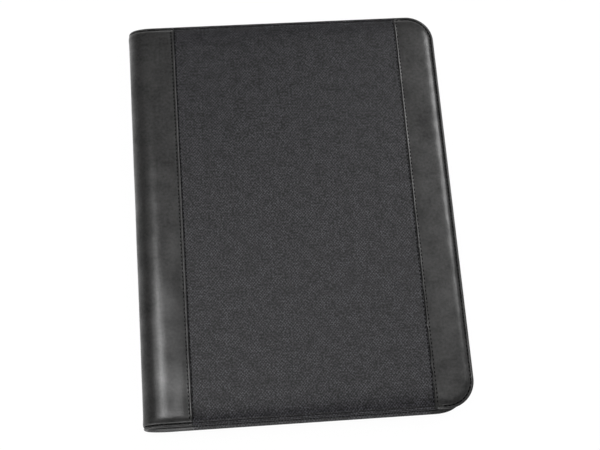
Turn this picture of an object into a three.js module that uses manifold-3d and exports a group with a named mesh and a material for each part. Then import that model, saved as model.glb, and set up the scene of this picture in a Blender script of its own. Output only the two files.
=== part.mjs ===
// Zippered conference folder, closed and lying on its back cover.
// Millimetres. X runs from the spine to the fore edge, Y from the bottom edge to the top edge,
// Z up through the thickness. The origin is at the middle of the outline, on the surface it lies on.

import * as THREE from 'three';
import { mergeVertices } from 'three/addons/utils/BufferGeometryUtils.js';
import Module from 'manifold-3d';

const wasm = await Module();
wasm.setup();

// Writing pad, which the folder is made for, and the room round it
const PAD_WIDTH = 210;
const PAD_HEIGHT = 297;
const SPINE_MARGIN = 37;          // spine's outer face to the pad
const FORE_MARGIN = 13;
const TOP_MARGIN = 23;
const BOTTOM_MARGIN = 20;

// Whole folder
const COVER_WIDTH = SPINE_MARGIN + PAD_WIDTH + FORE_MARGIN;
const COVER_HEIGHT = TOP_MARGIN + PAD_HEIGHT + BOTTOM_MARGIN;
const THICKNESS = 27;             // closed, outer face to outer face
const CORNER_RADIUS = 27;         // the two corners at the fore edge
const FIT_GAP = 0.3;              // between pieces that lie against each other

// Edge lip: the turned edge of the cover, sewn to the zip tape and the lining
const LIP_THICKNESS = 2.2;
const LIP_WIDTH = 2.6;
const LIP_ROUND = 0.6;            // softened outer corners of the lip
const GROOVE_WIDTH = 1.4;         // where the edge stitching pulls the cover in
const GROOVE_DEPTH = 0.7;

// Padded outer cover
const CROWN_RISE = 1.9;           // flat of the leather above the lip
const CROWN_RUN = 12;             // how far in from the groove the flat is reached
const LEATHER_THICKNESS = 1.4;    // leather with its backing
const FABRIC_THICKNESS = 0.9;     // woven centre panel
const FOAM_THICKNESS = 2.4;
const BOARD_THICKNESS = 1.6;
const LINING_THICKNESS = 0.8;
const SPINE_STRIP_WIDTH = 38.5;   // spine's outer face to the seam of the centre panel
const FORE_STRIP_WIDTH = 32;      // fore edge to the seam of the centre panel
const CREASE_WALL = 1.7;          // glued leather beside the spine crease
const CREASE_GAP = 0.8;           // leaves the cover room to turn at the spine

// Soft round spine
const SPINE_FOAM_THICKNESS = 3.2;
const SPINE_END_TAPER = 2;        // how much the spine's ends are drawn in
const SPINE_FOAM_REACH = 70;      // degrees each way from the spine's middle
const SPINE_LINING_REACH = 75;    // degrees each way from the spine's middle

// Zip
const ZIP_INSET = 6;              // middle of the tape, in from the cover's edge
const TAPE_THICKNESS = 0.6;
const ZIP_END_SETBACK = 28;       // spine's outer face to the end of the toothed run
const ROW_THICKNESS = 2.6;
const BEAD_OUTER = 3;             // bead's far side, from the zip's middle
const BEAD_INNER = 1.6;           // bead's near side, from the zip's middle
const TOOTH_REACH = 1;            // how far a tooth crosses the zip's middle
const TOOTH_PITCH = 4.6;
const TOOTH_BASE = 2.2;
const TOOTH_TIP = 1.7;
const STOP_LENGTH = 3.6;          // clamp that closes the zip's far end

// Zip slider and pull
const SLIDER_LENGTH = 11;
const SLIDER_PLATE = 1.1;
const SLIDER_FLANGE = 0.9;
const SLIDER_NOSE_SPREAD = 1.4;   // how much wider the nose is than the tail, each side
const SLIDER_TAPE_SLOT = 1.3;
const WEDGE_LENGTH = 2.8;
const WEDGE_HALF_WIDTH = 1.2;
const WEDGE_TIP_SHARE = 0.7;      // its blunt front, as a share of its width
const WEDGE_PEAK_SHARE = 0.4;     // where it is widest, as a share of its length
const SLIDER_WAIST = 1.3;         // from the slider's middle to where it widens
const SLIDER_BLUNT = 1.8;         // bevel of the nose's corners
const BRIDGE_LENGTH = 7;
const BRIDGE_WIDTH = 2.4;
const BRIDGE_HEIGHT = 2.3;
const BRIDGE_WALL = 0.9;
const PULL_LENGTH = 30;
const PULL_WIDTH = 7;
const PULL_THICKNESS = 1;
const PULL_SIDE_BAR = 1.2;        // metal left beside the eye
const PULL_EYE_END = 1;
const PULL_TIP_SHARE = 0.8;       // tip's width, as a share of the pull's

// Spine ends
const END_PATCH_LENGTH = 11;
const END_PATCH_HEIGHT = 8;
const END_PATCH_THICKNESS = 1.1;

// The pad's layers, and the pocket that its backing board slides into
const PAD_PAPER = 4.2;            // stack of sheets
const PAD_BACKING = 0.8;
const PAD_HEADER = 14;            // binding strip's depth down the front sheet
const PAD_HEADER_THICKNESS = 0.4;
const PAD_POCKET_THICKNESS = 0.7;
const PAD_POCKET_BORDER = 2.5;    // sewn border round the pocket
const PAD_POCKET_MOUTH = 46;      // pad's top edge to the pocket's mouth

// Pen loop
const PEN_LOOP_WIDTH = 14;
const PEN_LOOP_HEIGHT = 10.5;
const PEN_LOOP_LENGTH = 24;
const PEN_LOOP_WALL = 0.9;
const PEN_LOOP_FROM_SPINE = 25.5; // spine's outer face to its middle
const PEN_LOOP_FROM_TOP = 100;    // top edge to its middle

// Pockets inside the front cover
const POCKET_THICKNESS = 0.6;
const DOCUMENT_POCKET_INSET = 10; // in from the cover's edge
const DOCUMENT_MOUTH_HIGH = 52;   // top edge to the mouth at the spine side
const DOCUMENT_MOUTH_LOW = 108;   // top edge to the mouth at the fore edge
const CARD_POCKETS = 3;
const CARD_POCKET_WIDTH = 98;
const CARD_POCKET_HEIGHT = 58;    // the shortest, frontmost one
const CARD_POCKET_STEP = 14;      // each one behind stands this much taller
const CARD_POCKET_FROM_SPINE = 90;   // spine's outer face to the pockets' middle
const CARD_POCKET_FROM_BOTTOM = 162; // bottom edge to the lower seam
const THUMB_NOTCH_WIDTH = 24;
const THUMB_NOTCH_DEPTH = 6;
const WINDOW_FRAME_WIDTH = 104;
const WINDOW_FRAME_HEIGHT = 72;
const WINDOW_BORDER = 7;
const WINDOW_FROM_BOTTOM = 92;    // bottom edge to the window's middle
const WINDOW_CORNER = 3;
const WINDOW_HOLE_CORNER = 2;
const FILM_THICKNESS = 0.4;

// Steps on round forms
const CORNER_STEPS = 8;           // chords of a quarter turn
const SPINE_STEPS = 14;
const OVERSHOOT = 1;              // how far a cutting tool runs past the piece
const WELD_DISTANCE = 1e-4;       // corners nearer than this are one corner

// Levels through the front cover, from the outside in. The back cover mirrors them.
const MID = THICKNESS / 2;
const LIP_TOP = THICKNESS - CROWN_RISE;
const LIP_UNDER = LIP_TOP - LIP_THICKNESS;
const FABRIC_RISE = CROWN_RISE - (LEATHER_THICKNESS - FABRIC_THICKNESS);
const SKIN_UNDER = THICKNESS - LEATHER_THICKNESS;
const FOAM_TOP = SKIN_UNDER - FIT_GAP;
const FOAM_UNDER = FOAM_TOP - FOAM_THICKNESS;
const BOARD_TOP = FOAM_UNDER - FIT_GAP;
const BOARD_UNDER = BOARD_TOP - BOARD_THICKNESS;
const LINING_TOP = BOARD_UNDER - FIT_GAP;
const LINING_UNDER = LINING_TOP - LINING_THICKNESS;
const RIM_TOP = LIP_UNDER - FIT_GAP;

// Places along X and Y that several pieces share
const HALF_WIDTH = COVER_WIDTH / 2;
const HALF_HEIGHT = COVER_HEIGHT / 2;
const PAD_CENTRE_X = (SPINE_MARGIN - FORE_MARGIN) / 2;
const PAD_CENTRE_Y = (BOTTOM_MARGIN - TOP_MARGIN) / 2;
const PEN_LOOP_X = PEN_LOOP_FROM_SPINE - HALF_WIDTH;
const PEN_LOOP_Y = HALF_HEIGHT - PEN_LOOP_FROM_TOP;
const CARD_POCKET_X = CARD_POCKET_FROM_SPINE - HALF_WIDTH;
const CARD_POCKET_Y = CARD_POCKET_FROM_BOTTOM - HALF_HEIGHT;
const WINDOW_CENTRE_Y = WINDOW_FROM_BOTTOM - HALF_HEIGHT;
const MOUTH_HIGH_Y = HALF_HEIGHT - DOCUMENT_MOUTH_HIGH;
const MOUTH_LOW_Y = HALF_HEIGHT - DOCUMENT_MOUTH_LOW;
const SPINE_CENTRE = -HALF_WIDTH + MID;          // axis of the half-round spine
const COVER_LEFT = SPINE_CENTRE + FIT_GAP;       // where each cover starts beside the spine
const SPINE_SEAM = -HALF_WIDTH + SPINE_STRIP_WIDTH;
const FORE_SEAM = HALF_WIDTH - FORE_STRIP_WIDTH;
const CAVITY_INSET = ZIP_INSET + TAPE_THICKNESS / 2 + FIT_GAP + FIT_GAP;
const RIM_INSET = ZIP_INSET + TAPE_THICKNESS / 2 + FIT_GAP;
const TRAY_INSET = RIM_INSET + LINING_THICKNESS;
const CAVITY_LEFT = COVER_LEFT + CREASE_WALL;
const FOAM_LEFT = CAVITY_LEFT + FIT_GAP;
const BOARD_LEFT = FOAM_LEFT;
const LINING_LEFT = BOARD_LEFT - FIT_GAP - LINING_THICKNESS;
const ZIP_START = -HALF_WIDTH + ZIP_END_SETBACK; // toothed run's ends, beside the spine
const TAPE_LINE = HALF_HEIGHT - ZIP_INSET;       // tape's middle plane on the top edge
const TAPE_EDGE = BEAD_OUTER + FIT_GAP;          // tape's inner edge, from the zip's middle
const SPINE_LINING_OUTER = SKIN_UNDER - MID - FIT_GAP - SPINE_FOAM_THICKNESS - FIT_GAP;

const MATERIALS = {
  leather: { color: 0x2b2a2b, roughness: 0.42, metalness: 0 },
  fabric: { color: 0x38383c, roughness: 0.85, metalness: 0 },
  lining: { color: 0x2a2b2f, roughness: 0.9, metalness: 0 },
  foam: { color: 0x8f8f8a, roughness: 0.95, metalness: 0 },
  greyboard: { color: 0xa39a88, roughness: 0.9, metalness: 0 },
  tape: { color: 0x1d1d20, roughness: 0.9, metalness: 0 },
  teeth: { color: 0x1f1f22, roughness: 0.45, metalness: 0 },
  metal: { color: 0x9a9ca0, roughness: 0.3, metalness: 1 },
  paper: { color: 0xf2efe4, roughness: 0.9, metalness: 0 },
  binding: { color: 0x3a3b40, roughness: 0.7, metalness: 0 },
  elastic: { color: 0x222225, roughness: 0.9, metalness: 0 },
  film: { color: 0xdfe6ea, roughness: 0.1, metalness: 0, transparent: true, opacity: 0.35 },
};

const folder = new THREE.Group();

function addPiece(name, look, geometry) {
  const mesh = new THREE.Mesh(geometry, new THREE.MeshStandardMaterial(MATERIALS[look]));
  mesh.name = name;
  folder.add(mesh);
}

// Solids

function solidOf(geometry) {
  const bare = new THREE.BufferGeometry();
  bare.setAttribute('position', geometry.getAttribute('position'));
  if (geometry.index) bare.setIndex(geometry.index);
  const merged = mergeVertices(bare, WELD_DISTANCE);
  const mesh = new wasm.Mesh({
    numProp: 3,
    vertProperties: new Float32Array(merged.attributes.position.array),
    triVerts: new Uint32Array(merged.index.array),
  });
  return new wasm.Manifold(mesh);
}

function geometryOf(solid) {
  const mesh = solid.getMesh();
  const geometry = new THREE.BufferGeometry();
  geometry.setAttribute('position', new THREE.BufferAttribute(mesh.vertProperties, 3));
  geometry.setIndex(new THREE.BufferAttribute(mesh.triVerts, 1));
  geometry.computeVertexNormals();
  return geometry;
}

function cut(geometry, ...tools) {
  let solid = solidOf(geometry);
  for (const tool of tools) solid = solid.subtract(solidOf(tool));
  return geometryOf(solid);
}

function joined(geometry, ...others) {
  let solid = solidOf(geometry);
  for (const other of others) solid = solid.add(solidOf(other));
  return geometryOf(solid);
}

function overlapOf(geometry, other) {
  return geometryOf(solidOf(geometry).intersect(solidOf(other)));
}

function block(lowX, highX, lowY, highY, lowZ, highZ) {
  const box = new THREE.BoxGeometry(highX - lowX, highY - lowY, highZ - lowZ);
  return box.translate((lowX + highX) / 2, (lowY + highY) / 2, (lowZ + highZ) / 2);
}

// A flat shape given in X and Y, thick along Z
function plateXY(shape, lowZ, highZ) {
  const options = { depth: highZ - lowZ, bevelEnabled: false, curveSegments: CORNER_STEPS / 2 };
  return new THREE.ExtrudeGeometry(shape, options).translate(0, 0, lowZ);
}

// A flat shape given in X and Z, thick along Y
function plateXZ(shape, lowY, highY) {
  const options = { depth: highY - lowY, bevelEnabled: false, curveSegments: CORNER_STEPS / 2 };
  return new THREE.ExtrudeGeometry(shape, options).rotateX(Math.PI / 2).translate(0, highY, 0);
}

// Turns a closed mesh right side out if its triangles face inwards
function facingOut(geometry) {
  const place = geometry.getAttribute('position');
  const index = geometry.index.array;
  const a = new THREE.Vector3();
  const b = new THREE.Vector3();
  const c = new THREE.Vector3();
  let volume = 0;
  for (let i = 0; i < index.length; i += 3) {
    a.fromBufferAttribute(place, index[i]);
    b.fromBufferAttribute(place, index[i + 1]);
    c.fromBufferAttribute(place, index[i + 2]);
    volume += a.dot(b.cross(c));
  }
  if (volume < 0) {
    for (let i = 0; i < index.length; i += 3) {
      [index[i + 1], index[i + 2]] = [index[i + 2], index[i + 1]];
    }
  }
  geometry.computeVertexNormals();
  return geometry;
}

function closedMesh(points, triangles) {
  const geometry = new THREE.BufferGeometry().setFromPoints(points);
  geometry.setIndex(triangles);
  return facingOut(geometry);
}

// A closed body through rings of equally many points. `contour` is the rings' shape in 2D,
// from which the two end faces are filled.
function loft(rings, contour) {
  const count = contour.length;
  const points = rings.flat();
  const triangles = [];
  for (let i = 0; i + 1 < rings.length; i += 1) {
    for (let j = 0; j < count; j += 1) {
      const next = (j + 1) % count;
      const [low, lowNext] = [i * count + j, i * count + next];
      const [high, highNext] = [low + count, lowNext + count];
      triangles.push(low, lowNext, highNext, low, highNext, high);
    }
  }
  const last = (rings.length - 1) * count;
  for (const [a, b, c] of THREE.ShapeUtils.triangulateShape(contour, [])) {
    triangles.push(a, c, b, last + a, last + b, last + c);
  }
  return closedMesh(points, triangles);
}

// The same piece on the back cover: mirrored through the folder's middle plane
function onBack(geometry) {
  const copy = geometry.index ? geometry.clone() : mergeVertices(geometry);
  const place = copy.getAttribute('position');
  for (let i = 0; i < place.count; i += 1) place.setZ(i, THICKNESS - place.getZ(i));
  return facingOut(copy);
}

// Mirrored from the top edge to the bottom edge
function onBottomEdge(geometry) {
  const copy = geometry.index ? geometry.clone() : mergeVertices(geometry);
  const place = copy.getAttribute('position');
  for (let i = 0; i < place.count; i += 1) place.setY(i, -place.getY(i));
  return facingOut(copy);
}

// Outlines

function arcPoints(centreX, centreY, radius, start, end, steps) {
  const points = [];
  for (let i = 0; i <= steps; i += 1) {
    const angle = start + ((end - start) * i) / steps;
    const [x, y] = [centreX + radius * Math.cos(angle), centreY + radius * Math.sin(angle)];
    points.push(new THREE.Vector2(x, y));
  }
  return points;
}

// The cover's outline, drawn in by `inset` on its three free edges and square at `left`
function coverOutline(inset, left) {
  const right = HALF_WIDTH - inset;
  const top = HALF_HEIGHT - inset;
  const radius = CORNER_RADIUS - inset;
  return [
    new THREE.Vector2(left, -top),
    ...arcPoints(right - radius, radius - top, radius, -Math.PI / 2, 0, CORNER_STEPS),
    ...arcPoints(right - radius, top - radius, radius, 0, Math.PI / 2, CORNER_STEPS),
    new THREE.Vector2(left, top),
  ];
}

function coverPlate(inset, left, lowZ, highZ) {
  return plateXY(new THREE.Shape(coverOutline(inset, left)), lowZ, highZ);
}

// Stacks cover outlines, each given as [inset, height], into one body
function coverLoft(sections, left) {
  const rings = sections.map(([inset, z]) =>
    coverOutline(inset, left).map((p) => new THREE.Vector3(p.x, p.y, z)));
  return loft(rings, coverOutline(sections[0][0], left));
}

function roundedRectangle(width, height, radius, centreX, centreY) {
  const [x, y] = [width / 2 - radius, height / 2 - radius];
  const steps = CORNER_STEPS / 2;
  return new THREE.Shape([
    ...arcPoints(centreX + x, centreY - y, radius, -Math.PI / 2, 0, steps),
    ...arcPoints(centreX + x, centreY + y, radius, 0, Math.PI / 2, steps),
    ...arcPoints(centreX - x, centreY + y, radius, Math.PI / 2, Math.PI, steps),
    ...arcPoints(centreX - x, centreY - y, radius, Math.PI, 1.5 * Math.PI, steps),
  ]);
}

// Outer covers: leather strips and a fabric panel over foam, crowned towards a sewn edge lip

const CROWN_STATIONS = [0, 0.14, 0.34, 0.62, 1];

// How much of the crown's rise the cover has reached, `inset` in from its edge
function crownShare(inset) {
  const run = Math.min(Math.max((inset - LIP_WIDTH - GROOVE_WIDTH) / CROWN_RUN, 0), 1);
  return 1 - (1 - run) ** 2;
}

// The cover's outer surface from the edge inwards, as [inset, height]
function coverSurface(rise) {
  const lip = [
    [LIP_ROUND, LIP_UNDER],
    [0, LIP_UNDER + LIP_ROUND],
    [0, LIP_TOP - LIP_ROUND],
    [LIP_ROUND, LIP_TOP],
    [LIP_WIDTH, LIP_TOP],
    [LIP_WIDTH + GROOVE_WIDTH / 2, LIP_TOP - GROOVE_DEPTH],
  ];
  const crown = CROWN_STATIONS.map((share) => {
    const inset = LIP_WIDTH + GROOVE_WIDTH + share * CROWN_RUN;
    return [inset, LIP_TOP + rise * crownShare(inset)];
  });
  return [...lip, ...crown];
}

// What fills the space under the skin, `depth` below the fabric's outer surface
function coverFilling(inset, left, underside, depth) {
  const shoulder = LIP_TOP + FABRIC_RISE * crownShare(inset) - depth;
  const sections = [[inset, underside], [inset, shoulder]];
  for (const share of CROWN_STATIONS) {
    const at = LIP_WIDTH + GROOVE_WIDTH + share * CROWN_RUN;
    if (at <= inset + FIT_GAP) continue;
    sections.push([at, LIP_TOP + FABRIC_RISE * crownShare(at) - depth]);
  }
  return coverLoft(sections, left);
}

function coverSkin(rise) {
  const outer = coverLoft(coverSurface(rise), COVER_LEFT);
  const below = LIP_UNDER - OVERSHOOT;
  return cut(outer, coverFilling(CAVITY_INSET, CAVITY_LEFT, below, FABRIC_THICKNESS));
}

function strip(geometry, lowX, highX) {
  const between = block(lowX, highX, -COVER_HEIGHT, COVER_HEIGHT, 0, 2 * THICKNESS);
  return overlapOf(geometry, between);
}

const leatherSkin = coverSkin(CROWN_RISE);
const fabricSkin = coverSkin(FABRIC_RISE);
const foamDepth = FABRIC_THICKNESS + FIT_GAP;
const foamInset = CAVITY_INSET + FIT_GAP;
const coverPieces = [
  ['spine_side_panel', 'leather', strip(leatherSkin, -COVER_WIDTH, SPINE_SEAM)],
  ['centre_panel', 'fabric', strip(fabricSkin, SPINE_SEAM + FIT_GAP, FORE_SEAM - FIT_GAP)],
  ['fore_edge_panel', 'leather', strip(leatherSkin, FORE_SEAM, COVER_WIDTH)],
  ['foam', 'foam', coverFilling(foamInset, FOAM_LEFT, FOAM_UNDER, foamDepth)],
  ['board', 'greyboard', coverPlate(TRAY_INSET + FIT_GAP, BOARD_LEFT, BOARD_UNDER, BOARD_TOP)],
  ['lining', 'lining', liningTray()],
];
for (const [name, look, geometry] of coverPieces) {
  addPiece(`front_${name}`, look, geometry);
  addPiece(`back_${name}`, look, onBack(geometry));
}

// The lining is a shallow tray: its rim turns out to the lip and its floor faces the contents
function liningTray() {
  const tray = coverLoft([
    [TRAY_INSET, LINING_UNDER],
    [RIM_INSET, LINING_TOP],
    [RIM_INSET, RIM_TOP],
  ], LINING_LEFT);
  return cut(tray, coverPlate(TRAY_INSET, BOARD_LEFT - FIT_GAP, LINING_TOP, THICKNESS));
}

// Spine: leather, foam and lining bent round one axis

// A band round the spine's axis between two radii, `reach` degrees each way from its middle
function spineSection(inner, outer, reach) {
  const angles = [];
  for (let i = 0; i <= SPINE_STEPS; i += 1) {
    angles.push(THREE.MathUtils.degToRad(reach * (1 - (2 * i) / SPINE_STEPS)));
  }
  const outside = angles.map((angle) => [outer, angle]);
  const inside = angles.map((angle) => [inner, angle]).reverse();
  return [...outside, ...inside];
}

function spineRing(section, y, drawnIn) {
  return section.map(([radius, angle]) => {
    const round = Math.cos(angle);
    const x = SPINE_CENTRE - (radius - drawnIn) * round;
    return new THREE.Vector3(x, y - Math.sign(y) * drawnIn * round, MID + radius * Math.sin(angle));
  });
}

// How far the spine is drawn in, `inset` from its end
function spineTaper(inset) {
  const fade = Math.max(0, 1 - inset / (LIP_WIDTH + GROOVE_WIDTH + CROWN_RUN));
  return SPINE_END_TAPER * fade * fade;
}

// Each station is [inset from the end, inner radius, outer radius]
function spineBand(stations, reach) {
  const bottom = stations.map((station) => [-1, ...station]);
  const top = stations.map((station) => [1, ...station]).reverse();
  const rings = [...bottom, ...top].map(([side, inset, inner, outer]) =>
    spineRing(spineSection(inner, outer, reach), side * (HALF_HEIGHT - inset), spineTaper(inset)));
  return loft(rings, rings[0].map((p) => new THREE.Vector2(p.x, p.z)));
}

function spineWrap() {
  const crown = CROWN_STATIONS.map((share) => {
    const inset = LIP_WIDTH + GROOVE_WIDTH + share * CROWN_RUN;
    return [inset, LIP_TOP + CROWN_RISE * crownShare(inset) - MID];
  });
  const lipRadius = LIP_TOP - MID;
  const outline = [
    [0, lipRadius - LIP_ROUND],
    [LIP_ROUND, lipRadius],
    [LIP_WIDTH, lipRadius],
    [LIP_WIDTH + GROOVE_WIDTH / 2, lipRadius - GROOVE_DEPTH],
    ...crown,
  ];
  const innerLip = LIP_UNDER - MID;
  const stations = outline.map(([inset, outer]) => {
    const inner = Math.min(SKIN_UNDER - MID, outer - LEATHER_THICKNESS);
    return [inset, inset < CAVITY_INSET ? innerLip : inner, outer];
  });
  const radius = THICKNESS - MID;
  const reach = THREE.MathUtils.radToDeg(Math.acos((CREASE_GAP - FIT_GAP) / radius));
  return spineBand(stations, reach);
}

const spineFoamOuter = SKIN_UNDER - MID - FIT_GAP;
const spineFoamInset = LIP_WIDTH + GROOVE_WIDTH + CROWN_RUN;
const spineFoam = [spineFoamInset, spineFoamOuter - SPINE_FOAM_THICKNESS, spineFoamOuter];
const spineLining = [TRAY_INSET, SPINE_LINING_OUTER - LINING_THICKNESS, SPINE_LINING_OUTER];
addPiece('spine_wrap', 'leather', spineWrap());
addPiece('spine_foam', 'foam', spineBand([spineFoam], SPINE_FOAM_REACH));
addPiece('spine_lining', 'lining', spineBand([spineLining], SPINE_LINING_REACH));

// Zip: tape, toothed rows, slider, pull, and the plain tape ends at the spine

// A point on the zip's path, `along` millimetres from its end by the spine on the top edge,
// with the direction out of the folder there
const PATH_RADIUS = CORNER_RADIUS - ZIP_INSET;
const ACROSS = HALF_WIDTH - CORNER_RADIUS - ZIP_START;
const DOWN = COVER_HEIGHT - 2 * CORNER_RADIUS;
const BEND = (PATH_RADIUS * Math.PI) / 2;
const PATH_LENGTH = 2 * ACROSS + 2 * BEND + DOWN;

function zipPlace(along) {
  if (along > PATH_LENGTH / 2) {
    const twin = zipPlace(PATH_LENGTH - along);
    return { x: twin.x, y: -twin.y, outX: twin.outX, outY: -twin.outY };
  }
  const turn = Math.min(Math.max((along - ACROSS) / PATH_RADIUS, 0), Math.PI / 2);
  const [outX, outY] = [Math.sin(turn), Math.cos(turn)];
  const straightX = Math.min(along, ACROSS);
  const straightY = Math.max(along - ACROSS - BEND, 0);
  const x = ZIP_START + straightX + PATH_RADIUS * outX;
  const y = TAPE_LINE - PATH_RADIUS + PATH_RADIUS * outY - straightY;
  return { x, y, outX, outY };
}

// Half of the tape, standing between the lip and the toothed row
function tapeHalf() {
  const outer = coverOutline(ZIP_INSET - TAPE_THICKNESS / 2, ZIP_START);
  const inner = coverOutline(ZIP_INSET + TAPE_THICKNESS / 2, ZIP_START);
  return plateXY(new THREE.Shape([...outer, ...inner.reverse()]), MID + TAPE_EDGE, RIM_TOP);
}

// A toothed row. Heights are measured from the zip's middle towards the row's own cover.
function toothedRow(firstTooth) {
  const near = [[0, BEAD_INNER]];
  const far = [0];
  const teeth = Math.floor((PATH_LENGTH - firstTooth - TOOTH_BASE) / TOOTH_PITCH);
  for (let i = 0; i <= teeth; i += 1) {
    const centre = firstTooth + i * TOOTH_PITCH;
    near.push([centre - TOOTH_BASE / 2, BEAD_INNER]);
    near.push([centre - TOOTH_TIP / 2, -TOOTH_REACH]);
    near.push([centre + TOOTH_TIP / 2, -TOOTH_REACH]);
    near.push([centre + TOOTH_BASE / 2, BEAD_INNER]);
    far.push(centre);
  }
  near.push([PATH_LENGTH, BEAD_INNER]);
  far.push(PATH_LENGTH);
  return bentStrip(near, far.map((along) => [along, BEAD_OUTER]));
}

// A strip between two lines of [along, height], as thick as the row, laid along the zip's path
function bentStrip(near, far) {
  const points = [];
  const triangles = [];
  const line = [...near, ...far];
  for (const side of [-0.5, 0.5]) {
    for (const [along, height] of line) {
      const at = zipPlace(along);
      const out = side * ROW_THICKNESS;
      points.push(new THREE.Vector3(at.x + at.outX * out, at.y + at.outY * out, MID + height));
    }
  }
  const across = line.length;
  const quad = (a, b) => triangles.push(a, b, b + across, a, b + across, a + across);
  const face = (a, b, c) => triangles.push(a, c, b, a + across, b + across, c + across);
  let [i, j] = [0, 0];
  while (i + 1 < near.length || j + 1 < far.length) {
    const stepNear = j + 1 >= far.length || (i + 1 < near.length && near[i + 1][0] <= far[j + 1][0]);
    if (stepNear) face(i, i + 1, near.length + j);
    else face(i, near.length + j + 1, near.length + j);
    if (stepNear) i += 1;
    else j += 1;
  }
  for (let k = 0; k + 1 < near.length; k += 1) quad(k, k + 1);
  for (let k = line.length - 1; k > near.length; k -= 1) quad(k, k - 1);
  quad(near.length - 1, line.length - 1);
  quad(near.length, 0);
  return closedMesh(points, triangles);
}

// The plain end of the tape: it fills the corner between the lip, the spine and the zip's middle
function tapeTail() {
  const radius = RIM_TOP - MID;
  const low = FIT_GAP / 2;
  const clearOfSlider = ZIP_START - SLIDER_LENGTH / 2;
  const shape = new THREE.Shape();
  shape.moveTo(ZIP_START - FIT_GAP, MID + TAPE_EDGE);
  shape.lineTo(ZIP_START - FIT_GAP, RIM_TOP);
  shape.lineTo(SPINE_CENTRE, RIM_TOP);
  const end = Math.PI - Math.asin(low / radius);
  const reach = radius - spineTaper(ZIP_INSET - TAPE_THICKNESS);
  shape.absellipse(SPINE_CENTRE, MID, reach, radius, Math.PI / 2, end, false);
  shape.lineTo(clearOfSlider - TAPE_EDGE, MID + low);
  shape.lineTo(clearOfSlider, MID + TAPE_EDGE);
  return plateXZ(shape, TAPE_LINE - TAPE_THICKNESS / 2, TAPE_LINE + TAPE_THICKNESS / 2);
}

function endPatch() {
  const centre = SPINE_CENTRE + FIT_GAP;
  const shape = roundedRectangle(END_PATCH_LENGTH, END_PATCH_HEIGHT, END_PATCH_HEIGHT / 4, centre, MID);
  const inner = TAPE_LINE + TAPE_THICKNESS / 2 + FIT_GAP;
  return plateXZ(shape, inner, inner + END_PATCH_THICKNESS);
}

const halfTape = tapeHalf();
const tail = tapeTail();
addPiece('front_zip_tape', 'tape', halfTape);
addPiece('back_zip_tape', 'tape', onBack(halfTape));
addPiece('front_zip_teeth', 'teeth', toothedRow(TOOTH_PITCH / 2));
addPiece('back_zip_teeth', 'teeth', onBack(toothedRow(TOOTH_PITCH)));
addPiece('front_zip_tail_top', 'tape', tail);
addPiece('back_zip_tail_top', 'tape', onBack(tail));
addPiece('front_zip_tail_bottom', 'tape', onBottomEdge(tail));
addPiece('back_zip_tail_bottom', 'tape', onBottomEdge(onBack(tail)));
addPiece('spine_end_patch_top', 'leather', endPatch());
addPiece('spine_end_patch_bottom', 'leather', onBottomEdge(endPatch()));

const stopEnd = ZIP_START - FIT_GAP;
const stopHalf = ROW_THICKNESS / 2;
addPiece('zip_end_stop', 'metal', block(
  stopEnd - STOP_LENGTH, stopEnd,
  -TAPE_LINE - stopHalf, -TAPE_LINE + stopHalf,
  MID - BEAD_OUTER, MID + BEAD_OUTER,
));

// The slider is closed: its neck holds the first teeth and its wedge stands clear in front of them
const NECK_HALF = BEAD_OUTER + FIT_GAP;
const CHANNEL_HALF = ROW_THICKNESS / 2 + FIT_GAP;
const SLIDER_CENTRE = ZIP_START - FIT_GAP - WEDGE_LENGTH + SLIDER_LENGTH / 2;
const SLIDER_NOSE = SLIDER_CENTRE - SLIDER_LENGTH / 2;
const SLIDER_TAIL = SLIDER_CENTRE + SLIDER_LENGTH / 2;
const SLIDER_FACE = TAPE_LINE + CHANNEL_HALF + SLIDER_PLATE;
const PIVOT_Y = SLIDER_FACE + FIT_GAP + PULL_THICKNESS / 2;

// The slider's outline seen from the edge: narrow at the tail, wide and blunt at the nose
function sliderOutline(halfTail, spread) {
  const halfNose = halfTail + spread;
  const blunt = SLIDER_BLUNT;
  const shape = new THREE.Shape();
  shape.moveTo(SLIDER_TAIL, MID - halfTail);
  shape.lineTo(SLIDER_TAIL, MID + halfTail);
  shape.lineTo(SLIDER_CENTRE + SLIDER_WAIST, MID + halfTail);
  shape.lineTo(SLIDER_NOSE + blunt, MID + halfNose);
  shape.lineTo(SLIDER_NOSE, MID + halfNose - blunt);
  shape.lineTo(SLIDER_NOSE, MID - halfNose + blunt);
  shape.lineTo(SLIDER_NOSE + blunt, MID - halfNose);
  shape.lineTo(SLIDER_CENTRE + SLIDER_WAIST, MID - halfTail);
  return shape;
}

// The space for both rows, open at the tail and at the two sides of the nose
function sliderChannel() {
  const shape = new THREE.Shape();
  const halfNose = NECK_HALF + SLIDER_NOSE_SPREAD;
  shape.moveTo(SLIDER_TAIL + OVERSHOOT, MID - NECK_HALF);
  shape.lineTo(SLIDER_TAIL + OVERSHOOT, MID + NECK_HALF);
  shape.lineTo(SLIDER_CENTRE + SLIDER_WAIST, MID + NECK_HALF);
  shape.lineTo(SLIDER_NOSE - OVERSHOOT, MID + halfNose);
  shape.lineTo(SLIDER_NOSE - OVERSHOOT, MID - halfNose);
  shape.lineTo(SLIDER_CENTRE + SLIDER_WAIST, MID - NECK_HALF);
  return plateXZ(shape, TAPE_LINE - CHANNEL_HALF, TAPE_LINE + CHANNEL_HALF);
}

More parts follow.
